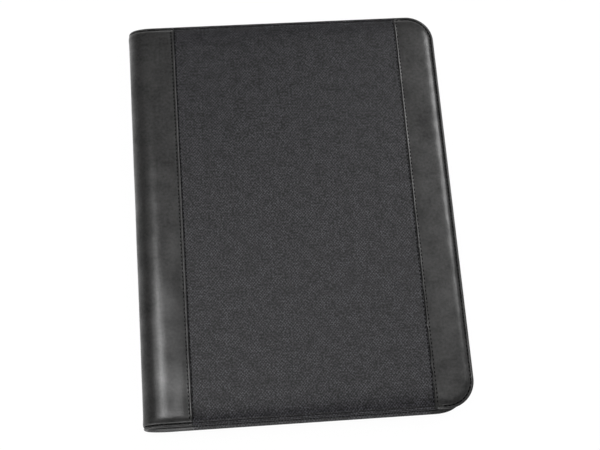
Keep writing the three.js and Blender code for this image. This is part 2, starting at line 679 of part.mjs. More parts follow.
// The wedge that parts the rows, and the only link between the slider's two plates
function sliderWedge() {
  const shape = new THREE.Shape();
  const middle = SLIDER_NOSE + WEDGE_LENGTH * WEDGE_PEAK_SHARE;
  const front = WEDGE_HALF_WIDTH * WEDGE_TIP_SHARE;
  shape.moveTo(SLIDER_NOSE, MID - front);
  shape.lineTo(middle, MID - WEDGE_HALF_WIDTH);
  shape.lineTo(SLIDER_NOSE + WEDGE_LENGTH, MID);
  shape.lineTo(middle, MID + WEDGE_HALF_WIDTH);
  shape.lineTo(SLIDER_NOSE, MID + front);
  return plateXZ(shape, TAPE_LINE - CHANNEL_HALF, TAPE_LINE + CHANNEL_HALF);
}

// An arch on the slider's outer plate, through which the pull's cross bar passes
function sliderBridge() {
  const [low, high] = [SLIDER_CENTRE - BRIDGE_LENGTH / 2, SLIDER_CENTRE + BRIDGE_LENGTH / 2];
  const shape = new THREE.Shape();
  shape.moveTo(low, SLIDER_FACE - SLIDER_PLATE / 2);
  shape.lineTo(high, SLIDER_FACE - SLIDER_PLATE / 2);
  shape.lineTo(high - BRIDGE_WALL, SLIDER_FACE + BRIDGE_HEIGHT);
  shape.lineTo(low + BRIDGE_WALL, SLIDER_FACE + BRIDGE_HEIGHT);
  const hole = new THREE.Path();
  hole.moveTo(low + 2 * BRIDGE_WALL, SLIDER_FACE);
  hole.lineTo(low + 2 * BRIDGE_WALL, SLIDER_FACE + BRIDGE_HEIGHT - BRIDGE_WALL / 2);
  hole.lineTo(high - 2 * BRIDGE_WALL, SLIDER_FACE + BRIDGE_HEIGHT - BRIDGE_WALL / 2);
  hole.lineTo(high - 2 * BRIDGE_WALL, SLIDER_FACE);
  shape.holes.push(hole);
  return plateXY(shape, MID - BRIDGE_WIDTH / 2, MID + BRIDGE_WIDTH / 2);
}

function zipSlider() {
  const half = CHANNEL_HALF + SLIDER_PLATE;
  const bodyOutline = sliderOutline(NECK_HALF + SLIDER_FLANGE, SLIDER_NOSE_SPREAD);
  const body = plateXZ(bodyOutline, TAPE_LINE - half, TAPE_LINE + half);
  const [slotLow, slotHigh] = [TAPE_LINE - SLIDER_TAPE_SLOT / 2, TAPE_LINE + SLIDER_TAPE_SLOT / 2];
  const [nose, tailEnd] = [SLIDER_NOSE - OVERSHOOT, SLIDER_TAIL + 1];
  const slots = block(nose, tailEnd, slotLow, slotHigh, 0, THICKNESS);
  return joined(cut(body, sliderChannel(), slots), sliderWedge(), sliderBridge());
}

// The pull lies flat along the closed zip. Its eye goes round the slider's bridge.
function zipPull() {
  const half = PULL_WIDTH / 2;
  const eyeHalf = half - PULL_SIDE_BAR;
  const eyeEnd = SLIDER_CENTRE + BRIDGE_LENGTH / 2 + PULL_EYE_END + PULL_THICKNESS / 2;
  const tip = SLIDER_CENTRE + PULL_LENGTH - half;
  const tipHalf = half * PULL_TIP_SHARE;
  const start = SLIDER_CENTRE - PULL_THICKNESS / 2;
  const shape = new THREE.Shape();
  shape.moveTo(start, MID - half);
  shape.lineTo(eyeEnd + PULL_EYE_END, MID - half);
  shape.lineTo(tip, MID - tipHalf);
  shape.absarc(tip, MID, tipHalf, -Math.PI / 2, Math.PI / 2, false);
  shape.lineTo(eyeEnd + PULL_EYE_END, MID + half);
  shape.lineTo(start, MID + half);
  const eye = new THREE.Path();
  eye.moveTo(start + PULL_THICKNESS, MID - eyeHalf);
  eye.lineTo(start + PULL_THICKNESS, MID + eyeHalf);
  eye.lineTo(eyeEnd, MID + eyeHalf);
  eye.lineTo(eyeEnd, MID - eyeHalf);
  shape.holes.push(eye);
  return plateXZ(shape, PIVOT_Y - PULL_THICKNESS / 2, PIVOT_Y + PULL_THICKNESS / 2);
}

addPiece('zip_slider', 'metal', zipSlider());
addPiece('zip_pull', 'metal', zipPull());

// Inside the back cover: writing pad, its pocket, and a pen loop

const FLOOR = THICKNESS - LINING_UNDER;
const BACKING_LOW = FLOOR + FIT_GAP;
const BACKING_HIGH = BACKING_LOW + PAD_BACKING;
const POCKET_LOW = BACKING_HIGH + FIT_GAP;
const POCKET_HIGH = POCKET_LOW + PAD_POCKET_THICKNESS;
const PAPER_LOW = POCKET_HIGH + FIT_GAP;
const PAPER_HIGH = PAPER_LOW + PAD_PAPER;
const PAD_LEFT = PAD_CENTRE_X - PAD_WIDTH / 2;
const PAD_RIGHT = PAD_CENTRE_X + PAD_WIDTH / 2;
const PAD_BOTTOM = PAD_CENTRE_Y - PAD_HEIGHT / 2;
const PAD_TOP = PAD_CENTRE_Y + PAD_HEIGHT / 2;
const MOUTH_Y = PAD_TOP - PAD_POCKET_MOUTH;

// A flat sleeve, open at its top, sewn to the lining on three sides
function padPocket() {
  const side = PAD_POCKET_BORDER;
  const gap = FIT_GAP;
  const sleeve = block(
    PAD_LEFT - gap - side, PAD_RIGHT + gap + side,
    PAD_BOTTOM - gap - side, MOUTH_Y,
    BACKING_LOW, POCKET_HIGH,
  );
  const room = block(PAD_LEFT - gap, PAD_RIGHT + gap, PAD_BOTTOM - gap, MOUTH_Y + side, 0, POCKET_LOW);
  return cut(sleeve, room);
}

// A binding strip folded over the pad's top edge
function padHeader() {
  const back = PAD_TOP + FIT_GAP;
  const top = PAPER_HIGH + FIT_GAP + PAD_HEADER_THICKNESS;
  const low = PAD_TOP - PAD_HEADER;
  const outer = block(PAD_LEFT, PAD_RIGHT, low, back + PAD_HEADER_THICKNESS, BACKING_LOW, top);
  const room = block(-COVER_WIDTH, COVER_WIDTH, -COVER_HEIGHT, back, 0, PAPER_HIGH + FIT_GAP);
  return cut(outer, room);
}

function penLoop() {
  const centre = PEN_LOOP_X;
  const low = FLOOR + FIT_GAP;
  const half = PEN_LOOP_WIDTH / 2;
  const wall = PEN_LOOP_WALL;
  const arch = (shape, inset) => {
    const shoulder = PEN_LOOP_HEIGHT - half;
    shape.moveTo(centre - half + inset, low + inset);
    shape.lineTo(centre + half - inset, low + inset);
    shape.lineTo(centre + half - inset, low + shoulder);
    shape.absarc(centre, low + shoulder, half - inset, 0, Math.PI, false);
    return shape;
  };
  const shape = arch(new THREE.Shape(), 0);
  shape.holes.push(arch(new THREE.Path(), wall));
  return plateXZ(shape, PEN_LOOP_Y - PEN_LOOP_LENGTH / 2, PEN_LOOP_Y + PEN_LOOP_LENGTH / 2);
}

// A block as wide and as high as the pad
function padBlock(lowZ, highZ) {
  return block(PAD_LEFT, PAD_RIGHT, PAD_BOTTOM, PAD_TOP, lowZ, highZ);
}

addPiece('pad_backing_board', 'greyboard', padBlock(BACKING_LOW, BACKING_HIGH));
addPiece('pad_pocket', 'lining', padPocket());
addPiece('pad_sheets', 'paper', padBlock(PAPER_LOW, PAPER_HIGH));
addPiece('pad_header', 'binding', padHeader());
addPiece('pen_loop', 'elastic', penLoop());

// Inside the front cover: document pocket, stepped card pockets, and a window pocket

const DOCUMENT_HIGH = LINING_UNDER - FIT_GAP;
const DOCUMENT_LOW = DOCUMENT_HIGH - POCKET_THICKNESS;

// A full-width pocket with a slanting mouth
function documentPocket() {
  const inset = DOCUMENT_POCKET_INSET;
  const left = -HALF_WIDTH + THICKNESS;
  const right = HALF_WIDTH - inset;
  const bottom = inset - HALF_HEIGHT;
  const radius = CORNER_RADIUS - inset;
  const shape = new THREE.Shape();
  shape.moveTo(left, bottom);
  shape.lineTo(right - radius, bottom);
  shape.absarc(right - radius, bottom + radius, radius, -Math.PI / 2, 0, false);
  shape.lineTo(right, MOUTH_LOW_Y);
  shape.lineTo(left, MOUTH_HIGH_Y);
  return plateXY(shape, DOCUMENT_LOW, DOCUMENT_HIGH);
}

// A card pocket with a shallow thumb notch in its mouth
function cardPocket(height, highZ) {
  const half = CARD_POCKET_WIDTH / 2;
  const top = CARD_POCKET_Y + height;
  const notch = THUMB_NOTCH_WIDTH / 2;
  const shape = new THREE.Shape();
  shape.moveTo(CARD_POCKET_X - half, CARD_POCKET_Y);
  shape.lineTo(CARD_POCKET_X + half, CARD_POCKET_Y);
  shape.lineTo(CARD_POCKET_X + half, top);
  shape.lineTo(CARD_POCKET_X + notch, top);
  shape.absellipse(CARD_POCKET_X, top, notch, THUMB_NOTCH_DEPTH, 0, Math.PI, true);
  shape.lineTo(CARD_POCKET_X - half, top);
  return plateXY(shape, highZ - POCKET_THICKNESS, highZ);
}

function windowFrame(border, radius) {
  const width = WINDOW_FRAME_WIDTH - 2 * border;
  const height = WINDOW_FRAME_HEIGHT - 2 * border;
  return roundedRectangle(width, height, radius, CARD_POCKET_X, WINDOW_CENTRE_Y);
}

addPiece('document_pocket', 'lining', documentPocket());
for (let i = 0; i < CARD_POCKETS; i += 1) {
  const height = CARD_POCKET_HEIGHT + (CARD_POCKETS - 1 - i) * CARD_POCKET_STEP;
  const highZ = DOCUMENT_LOW - FIT_GAP - i * (POCKET_THICKNESS + FIT_GAP);
  addPiece(`card_pocket_${i + 1}`, 'lining', cardPocket(height, highZ));
}
const frameHigh = DOCUMENT_LOW - FIT_GAP;
const frameLow = frameHigh - POCKET_THICKNESS;
const frameShape = windowFrame(0, WINDOW_CORNER);
frameShape.holes.push(windowFrame(WINDOW_BORDER, WINDOW_HOLE_CORNER));
addPiece('id_window_frame', 'leather', plateXY(frameShape, frameLow, frameHigh));
const filmHigh = (frameLow + frameHigh + FILM_THICKNESS) / 2;
const filmShape = windowFrame(WINDOW_BORDER + FIT_GAP, WINDOW_HOLE_CORNER - FIT_GAP);
addPiece('id_window_film', 'film', plateXY(filmShape, filmHigh - FILM_THICKNESS, filmHigh));

export default folder;
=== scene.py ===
# Zippered conference folder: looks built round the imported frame.
# Lengths are in millimetres until a mesh is made, and in metres from there on.

import math

import bmesh
import bpy
import numpy as np
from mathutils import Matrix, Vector
from mathutils.geometry import delaunay_2d_cdt


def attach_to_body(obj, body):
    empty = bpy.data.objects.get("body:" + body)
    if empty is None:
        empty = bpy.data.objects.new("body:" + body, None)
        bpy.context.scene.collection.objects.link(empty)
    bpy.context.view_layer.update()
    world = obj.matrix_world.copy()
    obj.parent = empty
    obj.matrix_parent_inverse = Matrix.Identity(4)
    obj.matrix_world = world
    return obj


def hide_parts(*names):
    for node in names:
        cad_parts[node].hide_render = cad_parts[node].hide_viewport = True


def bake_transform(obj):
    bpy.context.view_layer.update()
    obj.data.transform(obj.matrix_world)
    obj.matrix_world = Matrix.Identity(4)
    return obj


MM = 0.001

# Covers
THICKNESS = 27.0
MIDDLE = THICKNESS / 2
HALF_WIDTH = 130.0
HALF_HEIGHT = 170.0
CORNER_RADIUS = 27.0
COVER_CORNER = 22.8
SPINE_SEAM = -91.5
FORE_SEAM = 97.0
LIP_TOP = 25.1
LIP_UNDER = 22.9
LIP_INNER = 6.7
LIP_CREST = 1.3
LIP_DOME = 0.6
GROOVE_INSET = 2.5
GROOVE_DEPTH = 0.25
GROOVE_SHARE = 0.22
GROOVE_HALF = 0.5
GROOVE_END = 4.3
CROWN_START = 2.7
CROWN_RUN = 9.0
ROLL_SHARE = 0.8
ROLL_LENGTH = 2.4
LEATHER_RISE = 1.9
FABRIC_RISE = 0.55
FABRIC_SLOPE = 0.17
FABRIC_SLOPE_RUN = 13.0
LIP_STANDS_OUT = 0.2
CORNER_TUCK = 1.8
SKIN = 1.25

# Round of the spine
ROUND_START = -108.0
ROUND_REACH = 22.0
ROUND_SQUARENESS = 2.4
END_DRAW = 0.5
END_FADE = 9.0
SPINE_END_QUICK = 1.6
SPINE_PULL = 0.14, 2.4
FORE_PULL = 0.2, 2.6
FLUSH = 0.87

# Seams: distances from the leather's folded edge
BEAD_AT = 1.1
SEWN_AT = 2.3
FABRIC_SEWN_AT = 0.8
BEAD_RISE, BEAD_WIDTH = 0.38, 1.05
DENT_DEPTH, DENT_WIDTH = 0.1, 0.4
FOLD_DROP, FOLD_RUN = 0.95, 0.4
GATHERED = 140.0, 160.0
PUCKER_LENGTH, PUCKER_RISE = 9.0, 0.04
LEATHER_WAVE, LEATHER_WAVE_RISE = 26.0, 0.06
FABRIC_PUCKER, FABRIC_PUCKER_RISE = 11.0, 0.08
FABRIC_WAVE, FABRIC_WAVE_RISE = 70.0, 0.05
PRESSED_DEPTH, PRESSED_WIDTH = 0.5, 0.6

# Stitches
STITCH_PITCH = 3.3
STITCH_LENGTH = 2.1
THREAD = 0.52
THREAD_UP = 0.08
EDGE_THREAD = 0.4
FINE_THREAD = 0.2
CARD_THREAD = 0.18
UNEVENNESS = 0.18

# Zip
ZIP_INSET = 6.0
ZIP_START = -102.0
TAPE_LINE = HALF_HEIGHT - ZIP_INSET
TOOTH_PITCH = 4.6
TAPE_LOW = MIDDLE + 3.3
RIM_TOP = 22.6
TAPE_HALF = 0.3
TAPE_SWAY = 0.15
TAIL_HEM = 0.12
TAIL_ACROSS, TAIL_UP = 8.4, 9.1
CORD_WIDTH, CORD_HEIGHT, CORD_ABOVE = 1.7, 1.3, 2.55

# Inside
LINING_UNDER = 19.9
LINING_LEFT = -115.3
SPINE_CENTRE = -116.5
LAPPED_SLOPE = 0.55
FOAM_LEFT = -114.2
LINING_BAND = 7.55, 8.25, 7.6
FOAM_BAND = 8.9, 11.6, 16.2
PAD = (-93.0, 117.0, -150.0, 147.0)
SLEEVE_SIDE = 2.8
SLEEVE_MOUTH = 101.0
SLEEVE_TOP = 8.05
SHEETS = 9.5, 13.7
RULE_PITCH = 8.0
MARGIN_AT = -68.0
LOOP_AT = (-104.5, 70.0, 12.65)
LOOP_ACROSS, LOOP_UP = 6.5, 4.75
PATCH_X = -116.2
PATCH_LIFT = 0.6
POCKET_CORNER = (103.0, -143.0, 17.0)
POCKET_SEWN = 1.6
CARD_MIDDLE, CARD_BOTTOM = -40.0, -8.0
CARD_LEFT, CARD_RIGHT = -89.0, 9.0
CARD_STEPS = (86.0, 72.0, 58.0)
CARD_TOP, CARD_LAYER, CARD_CLOTH = 18.7, 0.9, 0.6
WINDOW_SIZE = (104.0, 72.0)
WINDOW_AT = (-40.0, -78.0)

# Starts of the random waves
SPINE_SEED, FORE_SEED, FABRIC_SEED, LINING_SEED, BAND_SEED = 11, 21, 31, 51, 61
SLEEVE_SEED, SHEETS_SEED, POCKET_SEED, FILM_SEED = 71, 81, 91, 95

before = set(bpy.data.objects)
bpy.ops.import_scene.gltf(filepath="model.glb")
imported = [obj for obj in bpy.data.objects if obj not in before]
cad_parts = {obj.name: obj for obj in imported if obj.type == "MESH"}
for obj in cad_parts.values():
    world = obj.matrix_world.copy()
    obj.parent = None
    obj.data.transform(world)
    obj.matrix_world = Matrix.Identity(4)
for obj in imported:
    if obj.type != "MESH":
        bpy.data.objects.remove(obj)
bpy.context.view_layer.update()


# Materials

def wire(tree, source, target):
    """Links two sockets, or sets the target to a number, colour or name."""
    if isinstance(source, bpy.types.NodeSocket):
        tree.links.new(source, target)
    else:
        target.default_value = source


def new_node(tree, kind, inputs=None, **settings):
    """A node with its settings made, and its inputs wired by name or number."""
    node = tree.nodes.new(kind)
    for setting, value in settings.items():
        setattr(node, setting, value)
    for socket, source in (inputs or {}).items():
        wire(tree, source, node.inputs[socket])
    return node


def new_group(name, kind, inputs, outputs):
    """A node group. Returns it with the sockets that come in and those that go out."""
    group = bpy.data.node_groups.new(name, kind)
    for side, sockets in (("OUTPUT", outputs), ("INPUT", inputs)):
        for socket, socket_kind in sockets.items():
            group.interface.new_socket(socket, in_out=side, socket_type="NodeSocket" + socket_kind)
    return group, group.nodes.new("NodeGroupInput").outputs, group.nodes.new("NodeGroupOutput").inputs


def shader_group(name, numbers, outputs):
    """A shader group that takes a place and some numbers."""
    return new_group(name, "ShaderNodeTree", {"Place": "Vector", **dict.fromkeys(numbers, "Float")},
                     dict.fromkeys(outputs, "Float"))


def maths(tree, operation, *values, clamp=False):
    return new_node(tree, "ShaderNodeMath", dict(enumerate(values)), operation=operation,
                    use_clamp=clamp).outputs[0]


def noise(tree, vector, scale, detail=2.0, roughness=0.5):
    return new_node(tree, "ShaderNodeTexNoise", {
        "Vector": vector, "Scale": scale, "Detail": detail, "Roughness": roughness}).outputs["Fac"]


def spread(tree, value, low, high, new_low=0.0, new_high=1.0):
    values = (value, low, high, new_low, new_high)
    return new_node(tree, "ShaderNodeMapRange", dict(enumerate(values))).outputs[0]


def coordinates(tree, vector):
    return new_node(tree, "ShaderNodeSeparateXYZ", {0: vector}).outputs


def wave(tree, shape, place, pitch):
    """A sine or cosine of a place, with its pitch in millimetres."""
    turns = maths(tree, "DIVIDE", place, maths(tree, "MULTIPLY", pitch, MM))
    return maths(tree, shape, maths(tree, "MULTIPLY", turns, 2 * math.pi))


def leather_grain_group():
    """Fine pebbled grain with soft creases: a height, a tone and a roughness mask."""
    group, given, put = shader_group("leather_grain", ["Pebble Size", "Crease"], ["Height", "Tone", "Worn"])
    place = given["Place"]
    size = maths(group, "DIVIDE", 1.0 / MM, given["Pebble Size"])
    cells = new_node(group, "ShaderNodeTexVoronoi", {"Vector": place, "Scale": size},
                     feature="DISTANCE_TO_EDGE")
    pebble = spread(group, cells.outputs["Distance"], 0.0, 0.28)
    deep = maths(group, "MULTIPLY", noise(group, place, 260.0, 4.0, 0.6), 2.5)
    folds = maths(group, "MULTIPLY_ADD", noise(group, place, 85.0, 4.0, 0.6), 6.0, deep)
    fold = maths(group, "MULTIPLY", folds, given["Crease"])
    wire(group, maths(group, "ADD", pebble, fold), put["Height"])
    patchy = noise(group, place, 48.0, 5.0, 0.62)
    fine = noise(group, place, 420.0, 3.0, 0.6)
    tone = maths(group, "MULTIPLY_ADD", fine, 0.5, maths(group, "MULTIPLY", patchy, 0.5))
    wire(group, tone, put["Tone"])
    wire(group, spread(group, patchy, 0.35, 0.7), put["Worn"])
    return group


def woven_dots_group():
    """A bird's-eye weave: staggered dots over fine slanting threads."""
    group, given, put = shader_group("woven_dots", ["Dot Pitch Across", "Dot Pitch Along", "Thread Pitch"],
                                     ["Height", "Dot", "Fuzz"])
    place = given["Place"]
    parts = coordinates(group, place)
    wander = maths(group, "SUBTRACT", noise(group, place, 260.0, 3.0), 0.5)
    drift = maths(group, "MULTIPLY", wander, 2.4 * MM)
    across = maths(group, "ADD", parts["X"], drift)
    along = maths(group, "ADD", parts["Y"], drift)
    product = maths(group, "MULTIPLY", wave(group, "COSINE", across, given["Dot Pitch Across"]),
                    wave(group, "COSINE", along, given["Dot Pitch Along"]))
    patchy = spread(group, noise(group, place, 110.0, 3.0), 0.38, 0.62, 0.25, 1.0)
    dot = maths(group, "MULTIPLY", spread(group, product, 0.0, 0.8), patchy)
    slant = maths(group, "ADD", across, maths(group, "MULTIPLY", along, 0.8))
    thread = wave(group, "COSINE", slant, given["Thread Pitch"])
    cross = wave(group, "COSINE", maths(group, "SUBTRACT", along, across), given["Thread Pitch"])
    threads = maths(group, "MULTIPLY_ADD", maths(group, "MULTIPLY", thread, cross), 0.25, 0.25)
    wire(group, maths(group, "MULTIPLY_ADD", dot, 0.7, threads), put["Height"])
    wire(group, dot, put["Dot"])
    wire(group, spread(group, noise(group, place, 620.0), 0.3, 0.7), put["Fuzz"])
    return group


def ribbed_cloth_group():
    """Twill, tape or elastic: slanting or straight ribs with a little fuzz."""
    group, given, put = shader_group("ribbed_cloth", ["Rib Pitch", "Slant", "Cross Pitch"],
                                     ["Height", "Tone"])
    parts = coordinates(group, given["Place"])
    flat = maths(group, "ADD", parts["Y"], parts["Z"])
    slanted = maths(group, "MULTIPLY_ADD", flat, given["Slant"], parts["X"])
    rib = wave(group, "SINE", slanted, given["Rib Pitch"])
    cross = wave(group, "SINE", flat, given["Cross Pitch"])
    height = maths(group, "MULTIPLY_ADD", rib, 0.5, maths(group, "MULTIPLY", cross, 0.2))
    wire(group, height, put["Height"])
    fuzz = noise(group, given["Place"], 700.0, 3.0)
    wire(group, maths(group, "MULTIPLY_ADD", height, 0.35, fuzz), put["Tone"])
    return group


LEATHER_GRAIN = leather_grain_group()
WOVEN_DOTS = woven_dots_group()
RIBBED_CLOTH = ribbed_cloth_group()


def emptied(owner):
    """The node tree of a material or world, with nothing in it."""
    owner.use_nodes = True
    owner.node_tree.nodes.clear()
    return owner.node_tree


class Finish:
    """A material with one Principled shader, and the nodes that feed it."""

    def __init__(self, name, place="object", **constants):
        self.material = bpy.data.materials.new(name)
        self.tree = emptied(self.material)
        self.shader = self.tree.nodes.new("ShaderNodeBsdfPrincipled")
        new_node(self.tree, "ShaderNodeOutputMaterial", {0: self.shader.outputs[0]})
        for socket, value in constants.items():
            self.feed(socket, value)
        if place == "surface":
            self.place = new_node(self.tree, "ShaderNodeUVMap", uv_map="surface").outputs["UV"]
        else:
            self.place = self.tree.nodes.new("ShaderNodeTexCoord").outputs["Object"]

    def feed(self, socket, value):
        wire(self.tree, value, self.shader.inputs[socket.replace("_", " ")])

    def group(self, group, **values):
        node = new_node(self.tree, "ShaderNodeGroup", node_tree=group)
        for socket, value in {"Place": self.place, **values}.items():
            wire(self.tree, value, node.inputs[socket.replace("_", " ")])
        return node.outputs

    def ramp(self, value, *stops):
        """Two colours, each given with its place on the ramp."""
        node = new_node(self.tree, "ShaderNodeValToRGB", {0: value})
        for element, (at, colour) in zip(node.color_ramp.elements, stops):
            element.position = at
            element.color = (*colour, 1.0)
        self.feed("Base_Color", node.outputs[0])

    def rough(self, value, low, high):
        self.feed("Roughness", spread(self.tree, value, 0.0, 1.0, low, high))

    def bump(self, height, depth, strength):
        self.feed("Normal", new_node(self.tree, "ShaderNodeBump", {
            "Distance": depth * MM, "Strength": strength, "Height": height}).outputs[0])


def leather(name, place):
    finish = Finish(name, place, Specular_IOR_Level=0.2, Coat_Roughness=0.26)
    grain = finish.group(LEATHER_GRAIN, Pebble_Size=0.85, Crease=0.5)
    finish.ramp(grain["Tone"], (0.34, (0.004, 0.004, 0.004)), (0.66, (0.029, 0.0286, 0.028)))
    finish.feed("Coat_Weight", spread(finish.tree, grain["Worn"], 0.0, 1.0, 0.5, 0.95))
    finish.rough(grain["Worn"], 0.56, 0.36)
    finish.bump(grain["Height"], 0.07, 1.0)
    return finish.material


def woven_panel():
    finish = Finish("charcoal_weave", "surface", Specular_IOR_Level=0.33)
    weave = finish.group(WOVEN_DOTS, Dot_Pitch_Across=2.3, Dot_Pitch_Along=2.7, Thread_Pitch=0.55)
    dots = maths(finish.tree, "MULTIPLY", weave["Dot"], 0.5)
    tone = maths(finish.tree, "MULTIPLY_ADD", weave["Fuzz"], 0.5, dots)
    finish.ramp(tone, (0.2, (0.0003, 0.0003, 0.0004)), (0.75, (0.066, 0.0645, 0.0745)))
    finish.rough(weave["Dot"], 0.4, 0.3)
    finish.bump(weave["Height"], 0.1, 0.6)
    return finish.material


def cloth(name, dark, light, pitch, slant, cross, depth=0.08):
    finish = Finish(name, Specular_IOR_Level=0.2, Sheen_Weight=0.05)
    ribs = finish.group(RIBBED_CLOTH, Rib_Pitch=pitch, Slant=slant, Cross_Pitch=cross)
    finish.ramp(ribs["Tone"], (0.2, dark), (0.8, light))
    finish.rough(ribs["Tone"], 0.92, 0.78)
    finish.bump(ribs["Height"], depth, 0.6)
    return finish.material


def grainy(name, dark, light, scale, depth, rough=(0.85, 0.95), **constants):
    finish = Finish(name, **constants)
    fibres = noise(finish.tree, finish.place, scale, 5.0, 0.65)
    finish.ramp(fibres, (0.3, dark), (0.7, light))
    finish.rough(fibres, *rough)
    finish.bump(fibres, depth, 0.5)
    return finish.material


def writing_paper():
    """Ruled lines across the sheet with a margin, and thin strata on the edges of the stack."""
    finish = Finish("ruled_paper", Specular_IOR_Level=0.3)
    tree = finish.tree
    parts = coordinates(tree, finish.place)
    rows = maths(tree, "FRACT", maths(tree, "DIVIDE", parts["Y"], RULE_PITCH * MM))
    line = maths(tree, "LESS_THAN", maths(tree, "ABSOLUTE", maths(tree, "SUBTRACT", rows, 0.5)), 0.022)
    margin = maths(tree, "COMPARE", parts["X"], MARGIN_AT * MM, 0.2 * MM)
    facing = coordinates(tree, tree.nodes.new("ShaderNodeNewGeometry").outputs["Normal"])
    upward = maths(tree, "GREATER_THAN", facing["Z"], 0.7)
    face = maths(tree, "MULTIPLY", maths(tree, "MAXIMUM", line, margin), upward)
    sheets = maths(tree, "SINE", maths(tree, "MULTIPLY", parts["Z"], 2 * math.pi / (0.11 * MM)))
    edge = maths(tree, "MULTIPLY", maths(tree, "MULTIPLY_ADD", sheets, 0.3, 0.3),
                 maths(tree, "SUBTRACT", 1.0, upward))
    inked = maths(tree, "ADD", face, edge, clamp=True)
    finish.ramp(inked, (0.0, (0.86, 0.84, 0.77)), (1.0, (0.36, 0.45, 0.56)))
    fibres = noise(tree, finish.place, 900.0, 3.0)
    finish.rough(fibres, 0.8, 0.95)
    finish.bump(maths(tree, "MULTIPLY_ADD", fibres, 0.3, edge), 0.03, 0.4)
    return finish.material


def plated_metal():
    finish = Finish("nickel_plate", Metallic=1.0)
    scratches = new_node(finish.tree, "ShaderNodeMapping", {"Scale": (1.0, 9.0, 9.0), "Vector": finish.place})
    brushed = noise(finish.tree, scratches.outputs[0], 900.0, 4.0, 0.6)
    finish.ramp(brushed, (0.3, (0.42, 0.425, 0.43)), (0.7, (0.6, 0.605, 0.61)))
    finish.rough(brushed, 0.24, 0.4)
    finish.bump(brushed, 0.006, 0.5)
    return finish.material


def clear_film():
    finish = Finish("clear_film", Base_Color=(0.75, 0.79, 0.82, 1.0), Alpha=0.22, IOR=1.45)
    ripples = noise(finish.tree, finish.place, 60.0)
    finish.rough(ripples, 0.05, 0.2)
    finish.bump(ripples, 0.4, 0.3)
    return finish.material


BLACK = (0.009, 0.009, 0.01)
LOOKS = {
    "leather": leather("black_leather", "surface"),
    "leather_trim": leather("black_leather_trim", "object"),
    "woven": woven_panel(),
    "lining": cloth("twill_lining", (0.016, 0.017, 0.02), (0.04, 0.042, 0.048), 0.9, 1.0, 0.45),
    "pocket": cloth("pocket_cloth", (0.02, 0.021, 0.024), (0.05, 0.052, 0.058), 0.7, -1.0, 0.35),
    "tape": cloth("woven_zip_tape", BLACK, (0.03, 0.03, 0.032), 0.6, 0.0, 0.9),
    "elastic": cloth("ribbed_elastic", (0.012, 0.012, 0.014), (0.045, 0.045, 0.05), 40.0, 0.0, 1.1, 0.2),
    # thread: black thread, also darkened as painted shade of the dimples each stitch pulls into the leather
    "thread": grainy("black_thread_with_painted_shade", (0.002, 0.002, 0.002), (0.006, 0.006, 0.0065), 3000.0, 0.05,
                     Specular_IOR_Level=0.03),
    # edge_thread: paler, glossier thread, a painted highlight that stands in for the lit lip beside the woven
    # panel
    "edge_thread": grainy("edge_thread_painted_highlight", (0.014, 0.014, 0.0145), (0.034, 0.034, 0.035), 3000.0,
                          0.05, Specular_IOR_Level=0.2),
    "teeth": grainy("moulded_teeth", BLACK, (0.024, 0.024, 0.026), 500.0, 0.02, (0.35, 0.5)),
    "metal": plated_metal(),
    "paper": writing_paper(),
    "binding": grainy("binding_strip", (0.03, 0.031, 0.036), (0.06, 0.062, 0.07), 1400.0, 0.08),
    "board": grainy("greyboard", (0.25, 0.225, 0.18), (0.44, 0.4, 0.33), 700.0, 0.06),
    "foam": grainy("grey_foam", (0.035, 0.035, 0.036), (0.075, 0.075, 0.077), 1600.0, 0.3),
    "film": clear_film(),
}


# Mesh making

def in_scene(name, data):
    """A new object, linked to the scene."""
    made = bpy.data.objects.new(name, data)
    bpy.context.scene.collection.objects.link(made)
    return made


def mesh_piece(name, points, faces, look, uv=None, crease=38.0):
    """A piece from points in millimetres, its faces turned outwards and shaded smooth up to a crease."""
    points = np.asarray(points, float)
    if signed_volume(points, faces) < 0:
        faces = [tuple(reversed(face)) for face in faces]
    mesh = bpy.data.meshes.new(name)
    mesh.from_pydata((points * MM).tolist(), [], [tuple(int(i) for i in face) for face in faces])
    if uv is not None:
        layer = mesh.uv_layers.new(name="surface")
        corner = np.zeros(len(mesh.loops), int)
        mesh.loops.foreach_get("vertex_index", corner)
        layer.data.foreach_set("uv", (np.asarray(uv, float)[corner] * MM).ravel())
    mesh.shade_smooth()
    mesh.set_sharp_from_angle(angle=math.radians(crease))
    mesh.materials.append(LOOKS[look])
    return in_scene(name, mesh)


def signed_volume(points, faces):
    total = 0.0
    for face in faces:
        face = list(face)
        a, rest = points[face[0]], points[face[1:]]
        total += np.einsum("j,ij->", a, np.cross(rest[:-1], rest[1:]))
    return total


def loft(name, rings, look, uv=None, crease=38.0, closed=False):
    """A body through rings of equally many points, capped at both ends unless it closes on itself."""
    rings = np.asarray(rings, float)
    count, size = rings.shape[:2]
    faces = []
    for i in range(count if closed else count - 1):
        low, high = i * size, ((i + 1) % count) * size
        for j in range(size):
            k = (j + 1) % size
            faces.append((low + j, low + k, high + k, high + j))
    if not closed:
        faces.append(tuple(range(size - 1, -1, -1)))
        faces.append(tuple((count - 1) * size + j for j in range(size)))
    flat_uv = None if uv is None else np.asarray(uv, float).reshape(-1, 2)
    return mesh_piece(name, rings.reshape(-1, 3), faces, look, flat_uv, crease)


def mirrored(points):
    """The same place on the back cover."""
    flipped = np.array(points, float)
    flipped[..., 2] = THICKNESS - flipped[..., 2]
    return flipped


def attach(piece, body, slot, *nodes):
    """Parents a piece to its body, or, where it is given a joint, only applies its transform; hides the nodes
    it stands for.
    The slot is not used.
    """
    if isinstance(body, str):
        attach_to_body(piece, body)
    else:
        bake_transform(piece)
    if nodes:
        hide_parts(*nodes)
    return piece


# Lines and outlines

def lengths(line):
    """How far along a line each of its points is."""
    return np.concatenate([[0], np.cumsum(np.linalg.norm(np.diff(line, axis=0), axis=1))])


